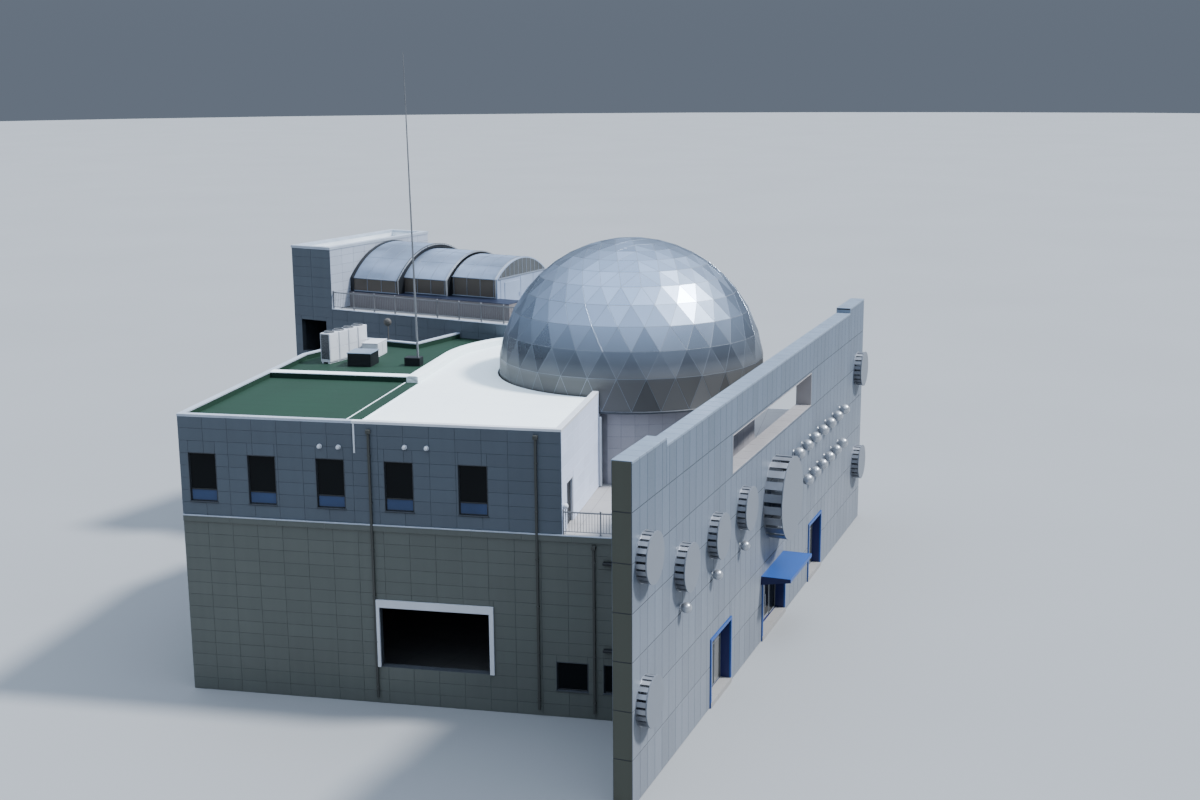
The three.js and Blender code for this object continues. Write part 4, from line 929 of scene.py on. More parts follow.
class HALL_OT_main_walls(HallOperator, bpy.types.Operator):
    """Panel both storeys of the main block and dress its windows"""
    bl_idname = "hall.main_walls"
    bl_label = "Main Block Walls"

    def execute(self, context):
        size = context.scene.hall_sizes
        plate = (size.block_panel, size.plate_relief)
        front, left, right, far = (MAIN[k] for k in ("front", "left", "right", "far"))
        front_end, far_start = (np.add(behind_screen(u), (0, 0.02)) for u in (front, far))
        garage = (left - GARAGE["left"] - 0.2, left - GARAGE["right"] + 0.2, GARAGE["sill"], GARAGE["head"] + 0.35)
        lower = [(CORNER, front_end, LOW_LEVELS, 11, garage, *self.holes("lower_front"))]
        lower += [(a, b, LOW_LEVELS, 12 + i) for i, (a, b) in enumerate(LEFT_SIDES)]
        lower += [(far_start, FAR_REAR_CORNER, LOW_LEVELS, 17)]
        clad_piece("lower_wall_panels", "lower_panel", (*plate, *BLOCK_GAP), lower, MAIN_TURN)
        upper = [(CORNER, (front, right), HIGH_LEVELS, 21, *self.holes("upper_front"))]
        upper += [(a, b, HIGH_LEVELS, 22 + i) for i, (a, b) in enumerate(LEFT_SIDES[:-1])]
        upper += [(*LEFT_SIDES[-1], HIGH_LEVELS, 25, *self.holes("upper_side"))]
        upper += [((far, right), FAR_REAR_CORNER, HIGH_LEVELS, 27)]
        clad_piece("upper_wall_panels", "facade_panel", (*plate, *BLOCK_GAP), upper, MAIN_TURN)
        reach = math.sqrt(DOME["r"] ** 2 - (DOME["v"] - right) ** 2)
        door = (TERRACE_DOOR[0] - front, TERRACE_DOOR[1] - front, *TERRACE_DOOR[2:])
        clad_piece("right_wall_panels", "pale_panel", (*plate, *PALE_GAP), [
            ((front, right), (DOME["u"] - reach, right), HIGH_LEVELS, 31, door),
            ((DOME["u"] + reach, right), (far, right), HIGH_LEVELS, 32)], MAIN_TURN)
        self.floor_edge([(CORNER, front_end, 0.06), *((a, b, 0.0) for a, b in LEFT_SIDES),
                         (far_start, FAR_REAR_CORNER, 0.0)])
        self.eaves([(CORNER, (front, right)), *LEFT_SIDES, ((far, right), FAR_REAR_CORNER)])
        self.windows()
        return {"FINISHED"}

    @staticmethod
    def holes(row):
        """Each window's outline along its wall: half its width on both sides of its centre."""
        width, sill, head, _, centres = WINDOWS[row]
        return [(c - width / 2, c + width / 2, sill, head) for c in centres]

    @staticmethod
    def floor_edge(walls):
        """A panelled face and a thin flashing on the edge of the floor between the storeys."""
        faces, flashings = [], []
        for start, end, out in walls:
            length = math.dist(start, end)
            steps = np.linspace(0, length, max(2, round(length / FLOOR_EDGE["bay"]) + 1))
            rows = boards(steps, 0.006, out + 0.001, out + 0.02, *FLOOR_EDGE["panels"])
            faces.append(on_wall(blocks(rows, 0.003), start, end))
            rows = [[0, length, 0.0, out + 0.035, *FLOOR_EDGE["flashing"]]]
            flashings.append(on_wall(blocks(rows, 0.005), start, end))
        make_piece("floor_edge_panels", joined(*faces), "lower_panel", MAIN_TURN)
        make_piece("floor_edge_flashing", joined(*flashings), "pale_coping", MAIN_TURN)

    @staticmethod
    def eaves(walls):
        """A dull strip behind the panels' joints, over the roof's edge."""
        strips = [on_wall(blocks([[0, math.dist(*wall), 0.001, 0.006, *EAVES]], 0.001), *wall) for wall in walls]
        make_piece("eaves_backing", joined(*strips), "joint_backing", MAIN_TURN)

    def windows(self):
        """Frame bars, panes, lower panes and linings, each window's outline at half its width from its centre."""
        bar, inset, lip = 0.05, 0.04, 0.03
        deep, reveal = (-0.13, -0.05), (-0.34, 0.032)
        shapes = [[], [], [], []]
        for row, (width, sill, head, split, centres) in WINDOWS.items():
            frames, panes, lowers, linings = [], [], [], []
            for c in centres:
                a, b = c - width / 2, c + width / 2
                frames += [[x, x + bar, *deep, sill, head] for x in (a, b - bar)]
                frames += [[a + bar, b - bar, *deep, z, z + bar] for z in (sill, head - bar)]
                panes += [[a + inset, b - inset, -0.105, -0.085, split or sill + inset, head - inset]]
                if split:
                    frames += [[a + bar, b - bar, deep[0], -0.04, split - 0.03, split + 0.03]]
                    lowers += [[a + inset, b - inset, -0.10, -0.07, sill + inset, split - 0.02]]
                linings += [[x, x + lip, *reveal, sill, head] for x in (a - lip, b)]
                linings += [[a - lip, b + lip, *reveal, head, head + lip]]
                linings += [[a - 0.05, b + 0.05, -0.1, 0.06, sill - 0.045, sill + 0.005]]
            for shape, rows, chamfer in zip(shapes, (frames, panes, lowers, linings), (0.01, 0.004, 0.004, 0.006)):
                if rows:
                    shape.append(on_wall(blocks(rows, chamfer), *WINDOW_WALLS[row]))
        for shape, name, finish, slot in zip(
                shapes, ("frames", "panes", "lower_panes", "linings"),
                ("dark_paint", "dark_glass", "window_film", "lining_paint"),
                ("dark_metal", "dark_glass", "dark_glass", "dark_metal")):
            make_piece("window_" + name, joined(*shape), finish, MAIN_TURN)


class HALL_OT_wall_services(HallOperator, bpy.types.Operator):
    """Hang fall pipes, vent hoods, the lamps and small fittings on the main block"""
    bl_idname = "hall.wall_services"
    bl_label = "Wall Services"

    def execute(self, context):
        face, side = MAIN["front"], MAIN["right"]
        rows = []
        for v, top in FALL_PIPES:
            rows += self.fall_pipe(v, 0.3, top, face)
        make_piece("fall_pipes", blocks(rows), "pipe_paint", MAIN_TURN)
        flange = [[0.09, -0.15], [0.09, -0.05], [0.11, -0.05], [0.11, -0.02], [0, -0.02]]
        hood = revolved([*bow(0.085, 0.04, math.pi / 2, 5, -0.17), *flange], 20, "x")
        vents = repeated(hood, [[face, v, z] for v, z in VENTS])
        strip = blocks([[face - 0.05, face - 0.015, *FRONT_STRIP]])
        make_piece("vent_hoods", joined(vents, strip), "white_paint", MAIN_TURN, weld=WELD)
        v0, v1, heights = LAMPS
        lamps = blocks([[face - 0.28, face - 0.02, v0, v1, z - 0.06, z + 0.06] for z in heights], 0.02)
        make_piece("wall_lamps", lamps, "dark_paint", MAIN_TURN)
        u0, u1, head = TERRACE_PIPE
        pipe = blocks([[u0, u1, side - 0.16, side - 0.03, HIGH_FOOT, head]], 0.02)
        u, v = TERRACE_LAMP, side - 0.12
        ball = repeated(revolved(bow(0.13, 0.13, math.pi, 10, 9.86), 18), [u, v, 0])
        post = rods([[u, v, MAIN["floor"]]], [[u, v, 9.75]], 0.03)
        make_piece("terrace_lamp_and_pipe", joined(pipe, post, ball),
                   "white_paint", MAIN_TURN, weld=WELD)
        return {"FINISHED"}

    @staticmethod
    def fall_pipe(v, low, high, face):
        """A square pipe with a hopper at its head and brackets to the wall."""
        rows = [[face - 0.14, face - 0.04, v - 0.055, v + 0.055, low, high - 0.1]]
        rows += [[face - 0.19, face - 0.02, v - 0.1, v + 0.1, high - 0.18, high]]
        brackets = np.arange(low + 0.5, high - 0.4, 2.2)
        return rows + [[face - 0.15, face, v - 0.08, v + 0.08, z, z + 0.04] for z in brackets]


def cap_profile(drop):
    """Section of a metal cap over a curb: a short outer lip, a flat top with cut corners and an inner leg's drop."""
    wide, high, lip = 0.25, 0.035, 0.09
    return [[-0.025, -lip], [-0.025, high - 0.012], [-0.01, high], [wide + 0.01, high], [wide + 0.025, high - 0.012],
            [wide + 0.025, -drop], [wide + 0.002, -drop], [wide + 0.002, 0.002], [-0.002, 0.002], [-0.002, -lip]]


def fold_profile(wide, leg, high, out, lip, under, inner):
    """Section of a metal sheet folded over an edge: its inner leg, flat top and outer lip, round the wall's top."""
    return [[-wide, -leg], [-wide, high], [out, high], [out, -lip], [0.0, -lip], [0.0, under], [-inner, under],
            [-inner, -leg]]


class HALL_OT_roofs(HallOperator, bpy.types.Operator):
    """Cap the curbs, round the hall's white curb and lay the strip beside the white roof"""
    bl_idname = "hall.roofs"
    bl_label = "Roofs"

    def execute(self, context):
        top, front, right = MAIN["curb_top"], MAIN["front"], MAIN["right"]
        split, rear, cross = ROOF_SPLIT["front"], ROOF_SPLIT["rear"], ROOF_SPLIT["cross"]
        cap, shallow = cap_profile(0.26), cap_profile(0.04)
        for name, profile, path, finish in (
                ("white_roof_edge", cap, [(16.02, right), (front, right), (front, split)], "white_paint"),
                ("green_roof_edge", shallow, [(front, split), *LEFT_EDGE[::-1]], "pale_coping"),
                ("far_roof_edge", cap, [(MAIN["far"], right), (MAIN["far"], 7.6)], "pale_coping")):
            make_piece(name, swept(profile, at_height(path, top)), finish, MAIN_TURN)
        wide, angle = 0.31, np.linspace(0, math.pi, 13)
        hump = np.stack([-wide * np.cos(angle), 0.05 * np.sin(angle)], 1)
        round_path = [(cross, rear - 0.3), *hall_arc(rear - HALL_ARC[1] - 0.3)]
        across = cross + ROOF_SPLIT["cross_width"] / 2
        strips = []
        for foot, path in ((-0.29, round_path), (-0.03, [(across, rear - 0.1), (across, MAIN["left"] - 0.27)])):
            strips.append(swept([[-wide, foot], *hump, [wide, foot]], at_height(path, top)))
        for wide, flat, high, v in ((0.022, 0.022, 0.02, 15.0), (0.07, 0.05, 0.03, split)):
            section = [[-wide, 0.0], [-flat, high], [flat, high], [wide, 0.0]]
            strips.append(swept(section, at_height([(front + 0.27, v), (cross, v)], MAIN["roof"])))
        make_piece("roof_curbs", joined(*strips), "white_sheet", MAIN_TURN)
        return {"FINISHED"}


def dome_ring(index):
    """Directions of one ring's corners: the colatitude's sine and cosine, at angles that share the circle."""
    count = 1 if index == 0 else 5 * min(index, CAP_RINGS)
    stagger = 0.5 if index > CAP_RINGS and (index - CAP_RINGS) % 2 == 1 else 0.0
    colatitude = math.radians(RING_COLATITUDES[index])
    angle = DOME_TURN + 2 * np.pi * (np.arange(count) + stagger) / count
    return at_height(math.sin(colatitude) * circle(angle), math.cos(colatitude))


def dome_triangles():
    """Corners of every plate, as an array of triangles of directions: rings joined band by band."""
    found = []
    for k in range(len(RING_COLATITUDES) - 1):
        upper, lower = dome_ring(k), dome_ring(k + 1)
        if k < CAP_RINGS:
            sector, i = np.divmod(np.arange(5 * (k + 1)), k + 1)
            a, b = (sector * k + i) % len(upper), sector * (k + 1) + i
            found.append(np.stack([upper[a], lower[b], lower[(b + 1) % len(lower)]], 1))
            a, b = a[i < k], b[i < k]
            found.append(np.stack([upper[a], lower[(b + 1) % len(lower)], upper[(a + 1) % len(upper)]], 1))
            continue
        upper_next, lower_next = np.roll(upper, -1, 0), np.roll(lower, -1, 0)
        if (k - CAP_RINGS) % 2:
            bands = [upper, lower, lower_next], [upper, lower_next, upper_next]
        else:
            bands = [upper, lower, upper_next], [upper_next, lower, lower_next]
        found += [np.stack(band, 1) for band in bands]
    return np.concatenate(found)


def drawn_in(triangles, distance):
    """Triangles whose sides move in by a distance: corners go towards the inner circle's centre in proportion."""
    sides = np.linalg.norm(np.roll(triangles, -1, 1) - np.roll(triangles, 1, 1), axis=2)
    centre = (triangles * sides[..., None]).sum(1) / sides.sum(1)[:, None]
    normal = np.cross(triangles[:, 1] - triangles[:, 0], triangles[:, 2] - triangles[:, 0])
    inner = np.linalg.norm(normal, axis=1) / sides.sum(1)
    return centre[:, None] + (triangles - centre[:, None]) * (1 - distance / inner)[:, None, None]


class HALL_OT_dome(HallOperator, bpy.types.Operator):
    """Cover the dome with flat triangular plates and tile the round wall below it"""
    bl_idname = "hall.dome"
    bl_label = "Dome"

    def execute(self, context):
        gap = context.scene.hall_sizes.dome_gap
        corners = dome_triangles() * DOME["r"]
        normal = unit(np.cross(corners[:, 1] - corners[:, 0], corners[:, 2] - corners[:, 0]))
        normal *= np.sign((normal * corners.mean(1)).sum(1))[:, None]
        # Each layer's inset and rise: the foot in the joint, the edge and the face within its cut rim
        layers = [drawn_in(corners, gap + inset) + rise * normal[:, None]
                  for inset, rise in ((0, -0.004), (0, 0.003), (0.002, 0.005))]
        points = np.stack(layers, 1).reshape(-1, 3) + [DOME["u"], DOME["v"], DOME["equator"]]
        k = np.arange(3)
        rings = [np.stack([low + k, low + (k + 1) % 3, low + 3 + (k + 1) % 3, low + 3 + k], 1) for low in (0, 3)]
        faces = copies(polygons(np.concatenate(rings), [[2, 1, 0], [6, 7, 8]]), len(corners), 9)
        tone = np.repeat(np.random.default_rng(8).random(len(corners)), 9)
        make_piece("dome_plates", (points, faces), "dome_plate", MAIN_TURN, tone=tone)
        foot = DOME["equator"] + DOME["r"] * math.cos(math.radians(RING_COLATITUDES[-1]))
        inner, low = 6.9, foot - 0.11
        rim = [[inner, low], [6.96, low], [6.965, foot - 0.03], [6.94, foot], [inner, foot], [inner, low]]
        make_piece("dome_foot_ring", repeated(revolved(rim, 90), DOME_CENTRE), "lining_paint",
                   MAIN_TURN, weld=WELD)
        angles = np.radians(np.arange(180, 361, 6))
        ring = DOME_CENTRE[:2] + THEATRE_RADIUS * circle(angles)
        levels = np.linspace(HIGH_FOOT, foot - 0.14, 7)
        clad_piece("theatre_tiles", "wall_tile", (0.7, 0.014, *TILE_GAP),
                   [(a, b, levels, 40 + i) for i, (a, b) in enumerate(zip(ring, ring[1:]))], MAIN_TURN)
        return {"FINISHED"}


class HALL_OT_rear_walls(HallOperator, bpy.types.Operator):
    """Panel the rear block and the stair tower and cap their edges"""
    bl_idname = "hall.rear_walls"
    bl_label = "Rear Block Walls"

    def execute(self, context):
        size = context.scene.hall_sizes
        front, back, right, tower, left = REAR.values()
        low_levels, front_levels = np.linspace(0.0, 13.98, 24), np.linspace(0.0, DECK_TOP + 0.08, 24)
        tower_levels, parapet_levels = (np.linspace(low, TOWER_TOP - 0.02, n) for low, n in ((0.0, 30), (14.05, 8)))
        attached = rotated(FAR_REAR_CORNER, MAIN_TURN - REAR_TURN)[0]
        fascia_end = rotated(FASCIA_END, MAIN_TURN - REAR_TURN)[1]
        passage = (left - PASSAGE[1], left - PASSAGE[0], *PASSAGE[2:])
        behind = (tower - fascia_end, tower - right + 1, -1, MAIN["roof"] + 0.03)
        side_hole = (-1, attached - front, -1, MAIN["roof"] + 0.03)
        plate = (size.block_panel, size.plate_relief, *BLOCK_GAP)
        clad_piece("rear_wall_panels", "rear_panel", plate, [
            ((front, tower), (front, right), front_levels, 51, behind),
            ((front, right), (back, right), low_levels, 52, side_hole),
            ((back, right), (back, tower), low_levels, 53)], REAR_TURN)
        clad_piece("tower_panels", "rear_panel", plate, [
            ((front, left), (front, tower), tower_levels, 54, passage),
            ((back, tower), (back, left), tower_levels, 55),
            ((back, left), (front, left), tower_levels, 56)], REAR_TURN)
        clad_piece("tower_side_panels", "tower_pale_panel",
                   (size.block_panel, size.plate_relief * 0.7, *BLOCK_GAP),
                   [((front, tower), (back, tower), parapet_levels, 57)], REAR_TURN)
        self.copings(front, back, right, tower, left)
        return {"FINISHED"}

    @staticmethod
    def copings(front, back, right, tower, left):
        """Folded sheets round the tower's top, on the deck's kerb and on its open edge, and the parapet's lining."""
        ring = [(front, tower), (back, tower), (back, left), (front, left)]
        cap = fold_profile(0.38, 0.1, 0.04, 0.04, 0.12, 0.004, 0.35)
        kerb = fold_profile(0.32, 0.09, 0.02, 0.045, 0.018, 0.002, 0.3)
        rim = [[-0.25, 0.0], [-0.25, 0.03], [0.045, 0.03], [0.045, -0.1], [0.0, -0.1], [0.0, 0.0]]
        edge = [(front + 0.3, right), (back, right), (back, tower - 0.02)]
        shape = joined(swept(cap, at_height(ring, TOWER_TOP), closed=True),
                       swept(kerb, at_height([(front, tower - 0.02), (front, right)], DECK_TOP + 0.1)),
                       swept(rim, at_height(edge, DECK_TOP)))
        make_piece("rear_copings", shape, "pale_coping", REAR_TURN)
        inset, sheet = 0.351, 0.012
        a, b, c, d = front + inset, back - inset, tower + inset, left - inset
        lining = [[a, a + sheet, c, d], [b - sheet, b, c, d], [a, b, c, c + sheet], [a, b, d - sheet, d]]
        lining = blocks([[*row, 17.36, TOWER_TOP - 0.1] for row in lining], 0.003)
        make_piece("tower_parapet_lining", lining, "white_paint", REAR_TURN)


def arch(half, spring, crown, out=0.0, low=None, steps=32):
    """A flat arch from its left foot to its right one, moved out by a distance, with upright legs if low is given.

    The arc's radius is half the span squared plus the rise squared, over twice the rise.
    """
    rise = crown - spring
    radius = (half * half + rise * rise) / (2 * rise)
    angle = np.linspace(-math.asin(half / radius), math.asin(half / radius), steps + 1)
    points = np.stack([(radius + out) * np.sin(angle), crown - radius + (radius + out) * np.cos(angle)], 1)
    points[:, 0] = np.clip(points[:, 0], -half - out, half + out)
    if low is None:
        return points
    feet = [[x, z] for x, z in ((-half - out, low), (-half - out, points[0, 1]),
                                (half + out, points[-1, 1]), (half + out, low))]
    return np.concatenate([feet[:2], points[1:-1], feet[2:]])


class HALL_OT_vault(HallOperator, bpy.types.Operator):
    """Build the three telescoping vault sections: bent sheets, ribs, side panes, seals and the end wall"""
    bl_idname = "hall.vault"
    bl_label = "Sliding Vault"

    def execute(self, context):
        for section, smaller in zip(VAULT_SECTIONS, VAULT_SECTIONS[1:] + [None]):
            self.sheet(*section)
            self.ribs(*section)
            self.seals(smaller, *section)
        self.end_wall()
        return {"FINISHED"}

    @staticmethod
    def shell(outer, inner, y0, y1):
        """The closed outline between two arches carried from y0 to y1."""
        return swept(np.concatenate([outer, inner[::-1]]) + [VAULT_AXIS, 0.0], [[0, y0, 0], [0, y1, 0]])

    def sheet(self, name, body, *size):
        """A bent sheet between two arches set in from the section's own, and a flat pane below each of its feet."""
        half, spring, crown, start, stop = size
        arches = [arch(half, spring, crown, out) for out in (-0.015, -0.045)]
        span = (start + 0.04, stop - 0.04)
        piece = make_piece("vault_sheet_" + name, self.shell(*arches, *span),
                           "vault_sheet", REAR_TURN, body, smooth=True)
        piece.data.set_sharp_from_angle(angle=math.radians(40))
        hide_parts("vault_section_" + name)
        rows = [[x - 0.015, x + 0.015, *span, TRACK_TOP + 0.02, spring - 0.02]
                for x in (VAULT_AXIS - half + 0.03, VAULT_AXIS + half - 0.03)]
        make_piece("vault_panes_" + name, blocks(rows, 0.004), "vault_side", REAR_TURN, body)

    def ribs(self, name, body, half, spring, crown, start, stop):
        """Bent ribs at an even pitch, four long ones at equal angles of the arc, and two rails on each side."""
        low, deep, wide = TRACK_TOP + 0.01, 0.03, 0.012
        path = arch(half, spring, crown, 0.0, low, 28)
        path = np.stack([path[:, 0] + VAULT_AXIS, np.zeros(len(path)), path[:, 1]], 1)
        thin = swept([[-deep, -wide], [0.002, -wide], [0.002, wide], [-deep, wide]], path, (0, 1, 0))
        count = max(3, round((stop - start) / bpy.context.scene.hall_sizes.rib_pitch))
        shapes = [repeated(thin, [[0, y, 0] for y in np.linspace(start + 0.2, stop - 0.2, count)])]
        span = (start + 0.05, stop - 0.05)
        for x, z in arch(half, spring, crown, -0.02, steps=5)[1:-1] + [VAULT_AXIS, 0.0]:
            shapes.append(blocks([[x - wide, x + wide, *span, z - deep, z + wide]], 0.004))
        for side in (-1, 1):
            x = VAULT_AXIS + side * (half - deep)
            shapes.append(blocks([[x - 0.035, x + 0.035, *span, z, z + 0.06] for z in (low, spring - 0.05)]))
        make_piece("vault_ribs_" + name, joined(*shapes), "vault_rib", REAR_TURN, body)

    def seals(self, smaller, name, body, half, spring, crown, start, stop):
        """Dark seals at both ends, the first section's wider and proud of its sheet, and a bright front edge."""
        low = TRACK_TOP + 0.005
        proud, wide = (0.03, 0.24) if name == "1" else (0.0, 0.12)
        outer = arch(half, spring, crown, proud, low)
        dark = [self.shell(outer, arch(half, spring, crown, -0.09, low), stop - wide, stop - 0.01)]
        if smaller:
            dark.append(self.shell(outer, arch(*smaller[2:5], 0.05, low), start + 0.03, start + 0.07))
        make_piece("vault_seals_" + name, joined(*dark), "dark_paint", REAR_TURN, body)
        bright = self.shell(*(arch(half, spring, crown, out, low) for out in (0.012, -0.06)), start, start + 0.09)
        make_piece("vault_edge_" + name, bright, "bright_metal", REAR_TURN, body)

    def end_wall(self):
        """Glass in the arch, ribs up to a distance below its arc, and the panelled skirt with its door."""
        _, body, half, spring, crown, start, _ = VAULT_SECTIONS[2]
        face, foot, bar = start - 0.0806, GABLE["foot"], GABLE["bar"]
        deep = (face - 0.03, face - 0.001)
        outline = arch(half - 0.1, spring, crown - 0.08) + [VAULT_AXIS, 0.0]
        glass = swept(outline, [[0, face - 0.014, 0], [0, face - 0.001, 0]])
        make_piece("gable_glass", glass, "arch_glass", REAR_TURN, body)
        radius = (half * half + (crown - spring) ** 2) / (2 * (crown - spring))
        x = np.linspace(-half + 0.45, half - 0.45, 11)
        tops = crown - radius + np.sqrt(radius ** 2 - x ** 2) - 0.1
        rows = [[VAULT_AXIS + a - 0.02, VAULT_AXIS + a + 0.02, *deep, bar, top] for a, top in zip(x, tops)]
        rows += [[VAULT_AXIS - half + 0.1, VAULT_AXIS + half - 0.1, face - 0.035, deep[1], bar - 0.05, bar + 0.05]]
        make_piece("gable_ribs", blocks(rows, 0.006), "vault_rib", REAR_TURN, body)
        rows = [[*GABLE["door"], *deep, foot, 15.9], [29.86, 29.9, face - 0.07, face - 0.03, 14.9, 15.15]]
        rows += [[*panel, face - 0.02, deep[1], foot, 16.1] for panel in GABLE["panels"]]
        make_piece("gable_door", blocks(rows), "gable_paint", REAR_TURN, body)


class HALL_OT_railings(HallOperator, bpy.types.Operator):
    """Fill both railings with thin bars and put a knob on each post"""
    bl_idname = "hall.railings"
    bl_label = "Railings"

    def execute(self, context):
        pitch = context.scene.hall_sizes.baluster_pitch
        front, back, right, tower, _ = REAR.values()
        low = DECK_TOP + 0.03
        points, faces = self.fence(right + 0.1, front + 0.35, back - 0.1, low, pitch)
        rear = self.fence(back - 0.1, right + 0.1, tower - 0.06, low, pitch)
        u, v = behind_screen(MAIN["front"] + 0.1)
        for name, shape, turn in (
                ("deck_balusters", self.bars(front + 0.15, right, tower - 0.01, DECK_TOP + 0.1, pitch), REAR_TURN),
                ("deck_side_railings", joined((points[:, [1, 0, 2]], faces), rear), REAR_TURN),
                ("terrace_balusters", self.bars(u, v + 0.05, MAIN["right"] - 0.01, MAIN["floor"], pitch), MAIN_TURN)):
            make_piece(name, shape, "rail_steel", turn, weld=WELD)
        return {"FINISHED"}

    @staticmethod
    def places(start, stop, bay):
        """Even steps near the bay, from just inside one end to just inside the other."""
        return np.linspace(start + 0.03, stop - 0.03, round((stop - start) / bay) + 1)

    def fence(self, x, start, stop, base, pitch):
        """A railing that the solids leave out: the bars, a round top rail, a thin bottom rail and its posts."""
        feet = [[x, y, base] for y in self.places(start, stop, RAIL_BAY)]
        shapes = [self.bars(x, start, stop, base, pitch), rods(feet, np.add(feet, [0, 0, 1.05]), 0.03)]
        for z, radius in ((base + 1.02, 0.028), (base + 0.13, 0.015)):
            shapes.append(rods([[x, start, z]], [[x, stop, z]], radius))
        return joined(*shapes)

    def bars(self, x, start, stop, base, pitch):
        """Upright bars at a pitch, a knob on each post and a foot plate under all but the end posts."""
        posts, half = self.places(start, stop, RAIL_BAY), 0.07
        feet = np.array([[x, y, base + 0.13] for y in self.places(start, stop, pitch)])
        knob = revolved(bow(0.05, 0.05, math.pi, 6, base + 1.1), 10)
        plates = [[x - half, x + half, y - half, y + half, base, base + 0.025] for y in posts[1:-1]]
        return joined(rods(feet, feet + [0, 0, 0.88], 0.011, 6), repeated(knob, [[x, y, 0] for y in posts]),
                      blocks(plates, 0.006))


class HALL_OT_roof_plant(HallOperator, bpy.types.Operator):
    """Fit fans, grilles and doors to the roof plant, and stand the floodlight on the curb"""
    bl_idname = "hall.roof_plant"
    bl_label = "Roof Plant"

    def execute(self, context):
        self.coolers(MAIN["roof"], MAIN["roof"] + COOLERS["height"])
        self.boxes(MAIN["roof"])
        self.floodlight()
        return {"FINISHED"}

    def coolers(self, base, top):
        """For each cooler of the turned row a fan on top, doors in front and slats behind, and slats on the end."""
        width, depth = COOLERS["width"], COOLERS["depth"]
        hub, blades, rim = 0.08, 0.24, 0.29
        fan = [[0.0, 0.03], [hub, 0.05], [hub, 0.02], [blades, 0.02], [blades, 0.07], [0.27, 0.08], [rim, 0.05],
               [rim, 0.0], [0.0, 0.0]]
        fans, slats, doors = [], [], []
        heights = np.arange(base + 0.25, top - 0.1, 0.05)
        for i in range(COOLERS["count"]):
            x = i * (width + COOLERS["between"])
            fans.append(repeated(revolved(fan, 20), [x + width / 2, depth / 2, top]))
            slats += [[x + 0.06, x + width - 0.06, depth, depth + 0.012, h, h + 0.022] for h in heights]
            doors += [[x + 0.03, x + width - 0.03, -0.016, 0.0, *span]
                      for span in ((base + 0.14, base + 0.8), (base + 0.83, top - 0.04))]
            doors += [[x + width - 0.14, x + width - 0.1, -0.03, -0.016, base + 1.1, base + 1.25]]
        slats += [[-0.012, 0.0, 0.04, depth - 0.04, h, h + 0.036] for h in heights]
        for name, (points, faces), finish in (("cooler_fans", joined(*fans), "grey_paint"),
                                              ("cooler_grilles", blocks(slats, 0.004), "dark_paint"),
                                              ("cooler_doors", blocks(doors, 0.006), "white_paint")):
            flat = rotated(points, COOLER_TURN) + [COOLERS["u"], COOLERS["v"]]
            make_piece(name, (np.concatenate([flat, points[:, 2:]], 1), faces), finish, MAIN_TURN,
                       weld=WELD)

    def boxes(self, base):
        """The dark box's lid and louvres, the cabinet's doors and top, and the cover of the mast's box."""
        u0, u1, v0, v1, high = PLANT_BOX
        c0, c1, d0, d1, tall = CABINET
        m0, m1, n0, n1, short = MAST_BOX
        lid, door, lip, cap, skin, slat, edge = 0.04, 0.02, 0.03, 0.04, 0.012, 0.015, 0.06
        lids = [[u0 - lid, u1 + lid, v0 - lid, v1 + lid, base + high, base + high + 0.05]]
        span = (base + 0.06, base + tall - 0.05)
        doors = [[a, b, d0 - door, d0, *span] for a, b in ((c0 + lip, c0 + 0.73), (c0 + 0.77, c1 - lip))]
        doors += [[c0 - door, c0, d0 + 0.04, d1 - 0.04, *span]]
        doors += [[c0 - lip, c1 + lip, d0 - lip, d1 + lip, base + tall, base + tall + cap]]
        cover = [[m0 - skin, m1 + skin, n0 - skin, n1 + skin, base, base + short + skin]]
        heights = np.arange(base + 0.08, base + high - 0.08, 0.07)
        slats = [[*side, h, h + 0.035] for side in ((u0 - slat, u0, v0 + edge, v1 - edge),
                                                    (u0 + edge, u1 - edge, v0 - slat, v0)) for h in heights]
        for name, rows, chamfer, finish, slot in (("plant_lid", lids, 0.015, "coping", "pale_panel"),
                                                  ("cabinet_doors", doors, 0.015, "white_paint", "pale_panel"),
                                                  ("mast_box_cover", cover, 0.02, "dark_paint", "dark_metal"),
                                                  ("plant_louvres", slats, 0.005, "dark_paint", "dark_metal")):
            make_piece(name, blocks(rows, chamfer), finish, MAIN_TURN)

    def floodlight(self):
        """A bowl on a bent arm over a post with a foot plate."""
        u, v, foot = *FLOODLIGHT, MAIN["curb_top"] + 0.03
        half, thick = 0.09, 0.03
        plate = blocks([[u - half, u + half, v - half, v + half, foot, foot + thick]])
        rim = [[0.235, -0.01], [0.235, -0.05], [0.0, -0.05]]
        head = revolved([*bow(0.22, -0.12, math.pi / 2, 6), *rim], 20, "x")
        head = repeated((head[0] * [-1, 1, 1], head[1]), [u - 0.1, v, foot + 1.05])
        arm = blocks([[x, u + thick, v - thick, v + thick, foot + 0.8, z]
                      for x, z in ((u - 0.16, foot + 0.86), (u - 0.02, foot + 1.05))])
        shape = joined(rods([[u, v, foot]], [[u, v, foot + 0.85]], thick), plate, head, arm)
        make_piece("floodlight", shape, "lamp_paint", MAIN_TURN, weld=WELD)


def facing(forward, roll, place):
    """A matrix whose own -Z looks along the given direction, rolled about it, at a place."""
    back = -unit(forward)
    right = unit(np.cross([0, 0, 1], back))
    up = np.cross(back, right)
    cos, sin = math.cos(roll), math.sin(roll)
    turn = np.eye(4)
    turn[:3] = np.stack([cos * right + sin * up, cos * up - sin * right, back, place], 1)
    return Matrix(turn.tolist())


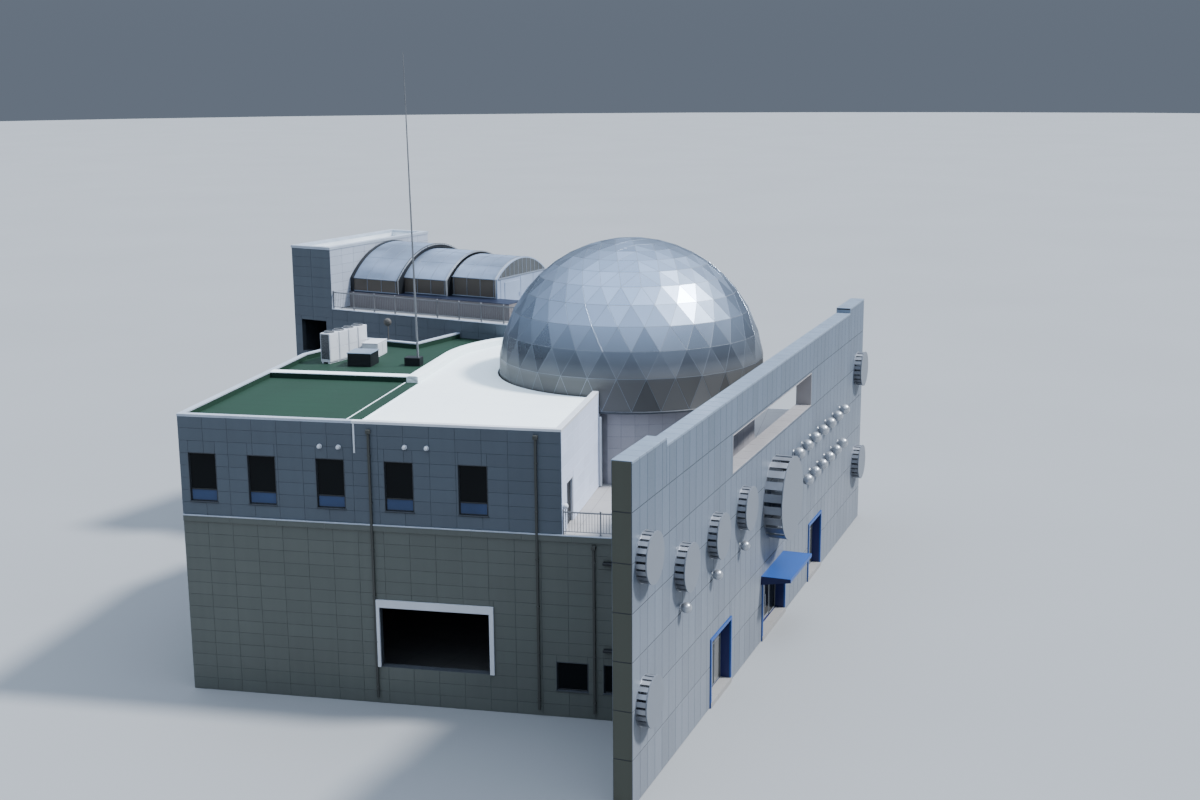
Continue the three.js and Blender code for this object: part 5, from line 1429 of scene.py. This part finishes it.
class HALL_OT_stage(HallOperator, bpy.types.Operator):
    """Lay the pale floor, hang the soft lights and set the camera at the photograph's viewpoint"""
    bl_idname = "hall.stage"
    bl_label = "Stage"

    def execute(self, context):
        self.floor()
        self.lights(context.scene)
        self.camera(context.scene)
        return {"FINISHED"}

    def floor(self):
        """A flat disc whose rim is far past the model."""
        rim = at_height(FLOOR_RADIUS * circle(np.linspace(0, 2 * np.pi, 64, endpoint=False)), -0.002)
        mesh = bpy.data.meshes.new("floor")
        mesh.from_pydata(rim.tolist(), [], [tuple(range(64))])
        floor = bpy.data.objects.new("floor", mesh)
        bpy.context.scene.collection.objects.link(floor)
        made = Recipe("floor")
        made.base(0.9)
        made.feed(Base_Color=made.mix(made.noise(0.08, 3.0), (0.24, 0.25, 0.26), (0.27, 0.28, 0.29)))
        mesh.materials.append(made.material)

    def lights(self, scene):
        """The sun, and a sky that passes from its low colour to its high one by the square of the height looked at."""
        sun = bpy.data.lights.new("key_light", "SUN")
        sun.energy, sun.angle, sun.color = SUN["strength"], math.radians(SUN["spread"]), SUN["colour"]
        key = bpy.data.objects.new("key_light", sun)
        key.matrix_world = facing(SUN["aim"], 0.0, (0.0, 0.0, 0.0))
        scene.collection.objects.link(key)
        world = bpy.data.worlds.new("studio")
        world.use_nodes = True
        sky = Nodes(world.node_tree)
        height = sky.split(sky.node("ShaderNodeTexCoord"))[2]
        rise = sky.maths("SMOOTH_MIN", sky.maths("MAXIMUM", height, 0.0), 1.0, 0.01)
        colour = sky.mix(rise * rise, SKY["low"], SKY["high"])
        background = world.node_tree.nodes["Background"]
        world.node_tree.links.new(colour.socket, background.inputs[0])
        background.inputs[1].default_value = SKY["strength"]
        scene.world = world

    def camera(self, scene):
        """The line of sight: its plan part is the pitch's cosine along the heading, its rise the pitch's sine."""
        heading, pitch, roll = (math.radians(VIEW[k]) for k in ("heading", "pitch", "roll"))
        flat = math.cos(pitch)
        forward = (flat * math.cos(heading), flat * math.sin(heading), math.sin(pitch))
        lens = bpy.data.cameras.new("photo_view")
        lens.lens, lens.sensor_width, lens.sensor_fit = VIEW["lens"], 36.0, "HORIZONTAL"
        lens.clip_start, lens.clip_end = 0.1, 2000.0
        view = bpy.data.objects.new("photo_view", lens)
        view.matrix_world = facing(forward, roll, VIEW["place"])
        scene.collection.objects.link(view)
        scene.camera = view


OPERATORS = (HALL_OT_finishes, HALL_OT_screen_wall, HALL_OT_wall_fittings, HALL_OT_entrance, HALL_OT_main_walls,
             HALL_OT_wall_services, HALL_OT_roofs, HALL_OT_dome, HALL_OT_rear_walls, HALL_OT_vault, HALL_OT_railings,
             HALL_OT_roof_plant, HALL_OT_stage)


class HALL_PT_panel(bpy.types.Panel):
    """Colours, sizes and one button for each group of pieces."""
    bl_idname = "HALL_PT_panel"
    bl_label = "Science Hall"
    bl_space_type = "VIEW_3D"
    bl_region_type = "UI"
    bl_category = "Hall"

    def draw(self, context):
        for group in (context.scene.hall_colours, context.scene.hall_sizes):
            box = self.layout.box()
            for name in group.__annotations__:
                box.prop(group, name)
        for operator in OPERATORS:
            self.layout.operator(operator.bl_idname)


CLASSES = (HallColours, HallSizes, *OPERATORS, HALL_PT_panel)


def register():
    for cls in CLASSES:
        bpy.utils.register_class(cls)
    bpy.types.Scene.hall_colours = bpy.props.PointerProperty(type=HallColours)
    bpy.types.Scene.hall_sizes = bpy.props.PointerProperty(type=HallSizes)


def unregister():
    del bpy.types.Scene.hall_sizes
    del bpy.types.Scene.hall_colours
    for cls in reversed(CLASSES):
        bpy.utils.unregister_class(cls)


def main():
    """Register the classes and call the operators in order."""
    register()
    for operator in OPERATORS:
        group, name = operator.bl_idname.split(".")
        getattr(getattr(bpy.ops, group), name)()


if __name__ == "__main__":
    main()
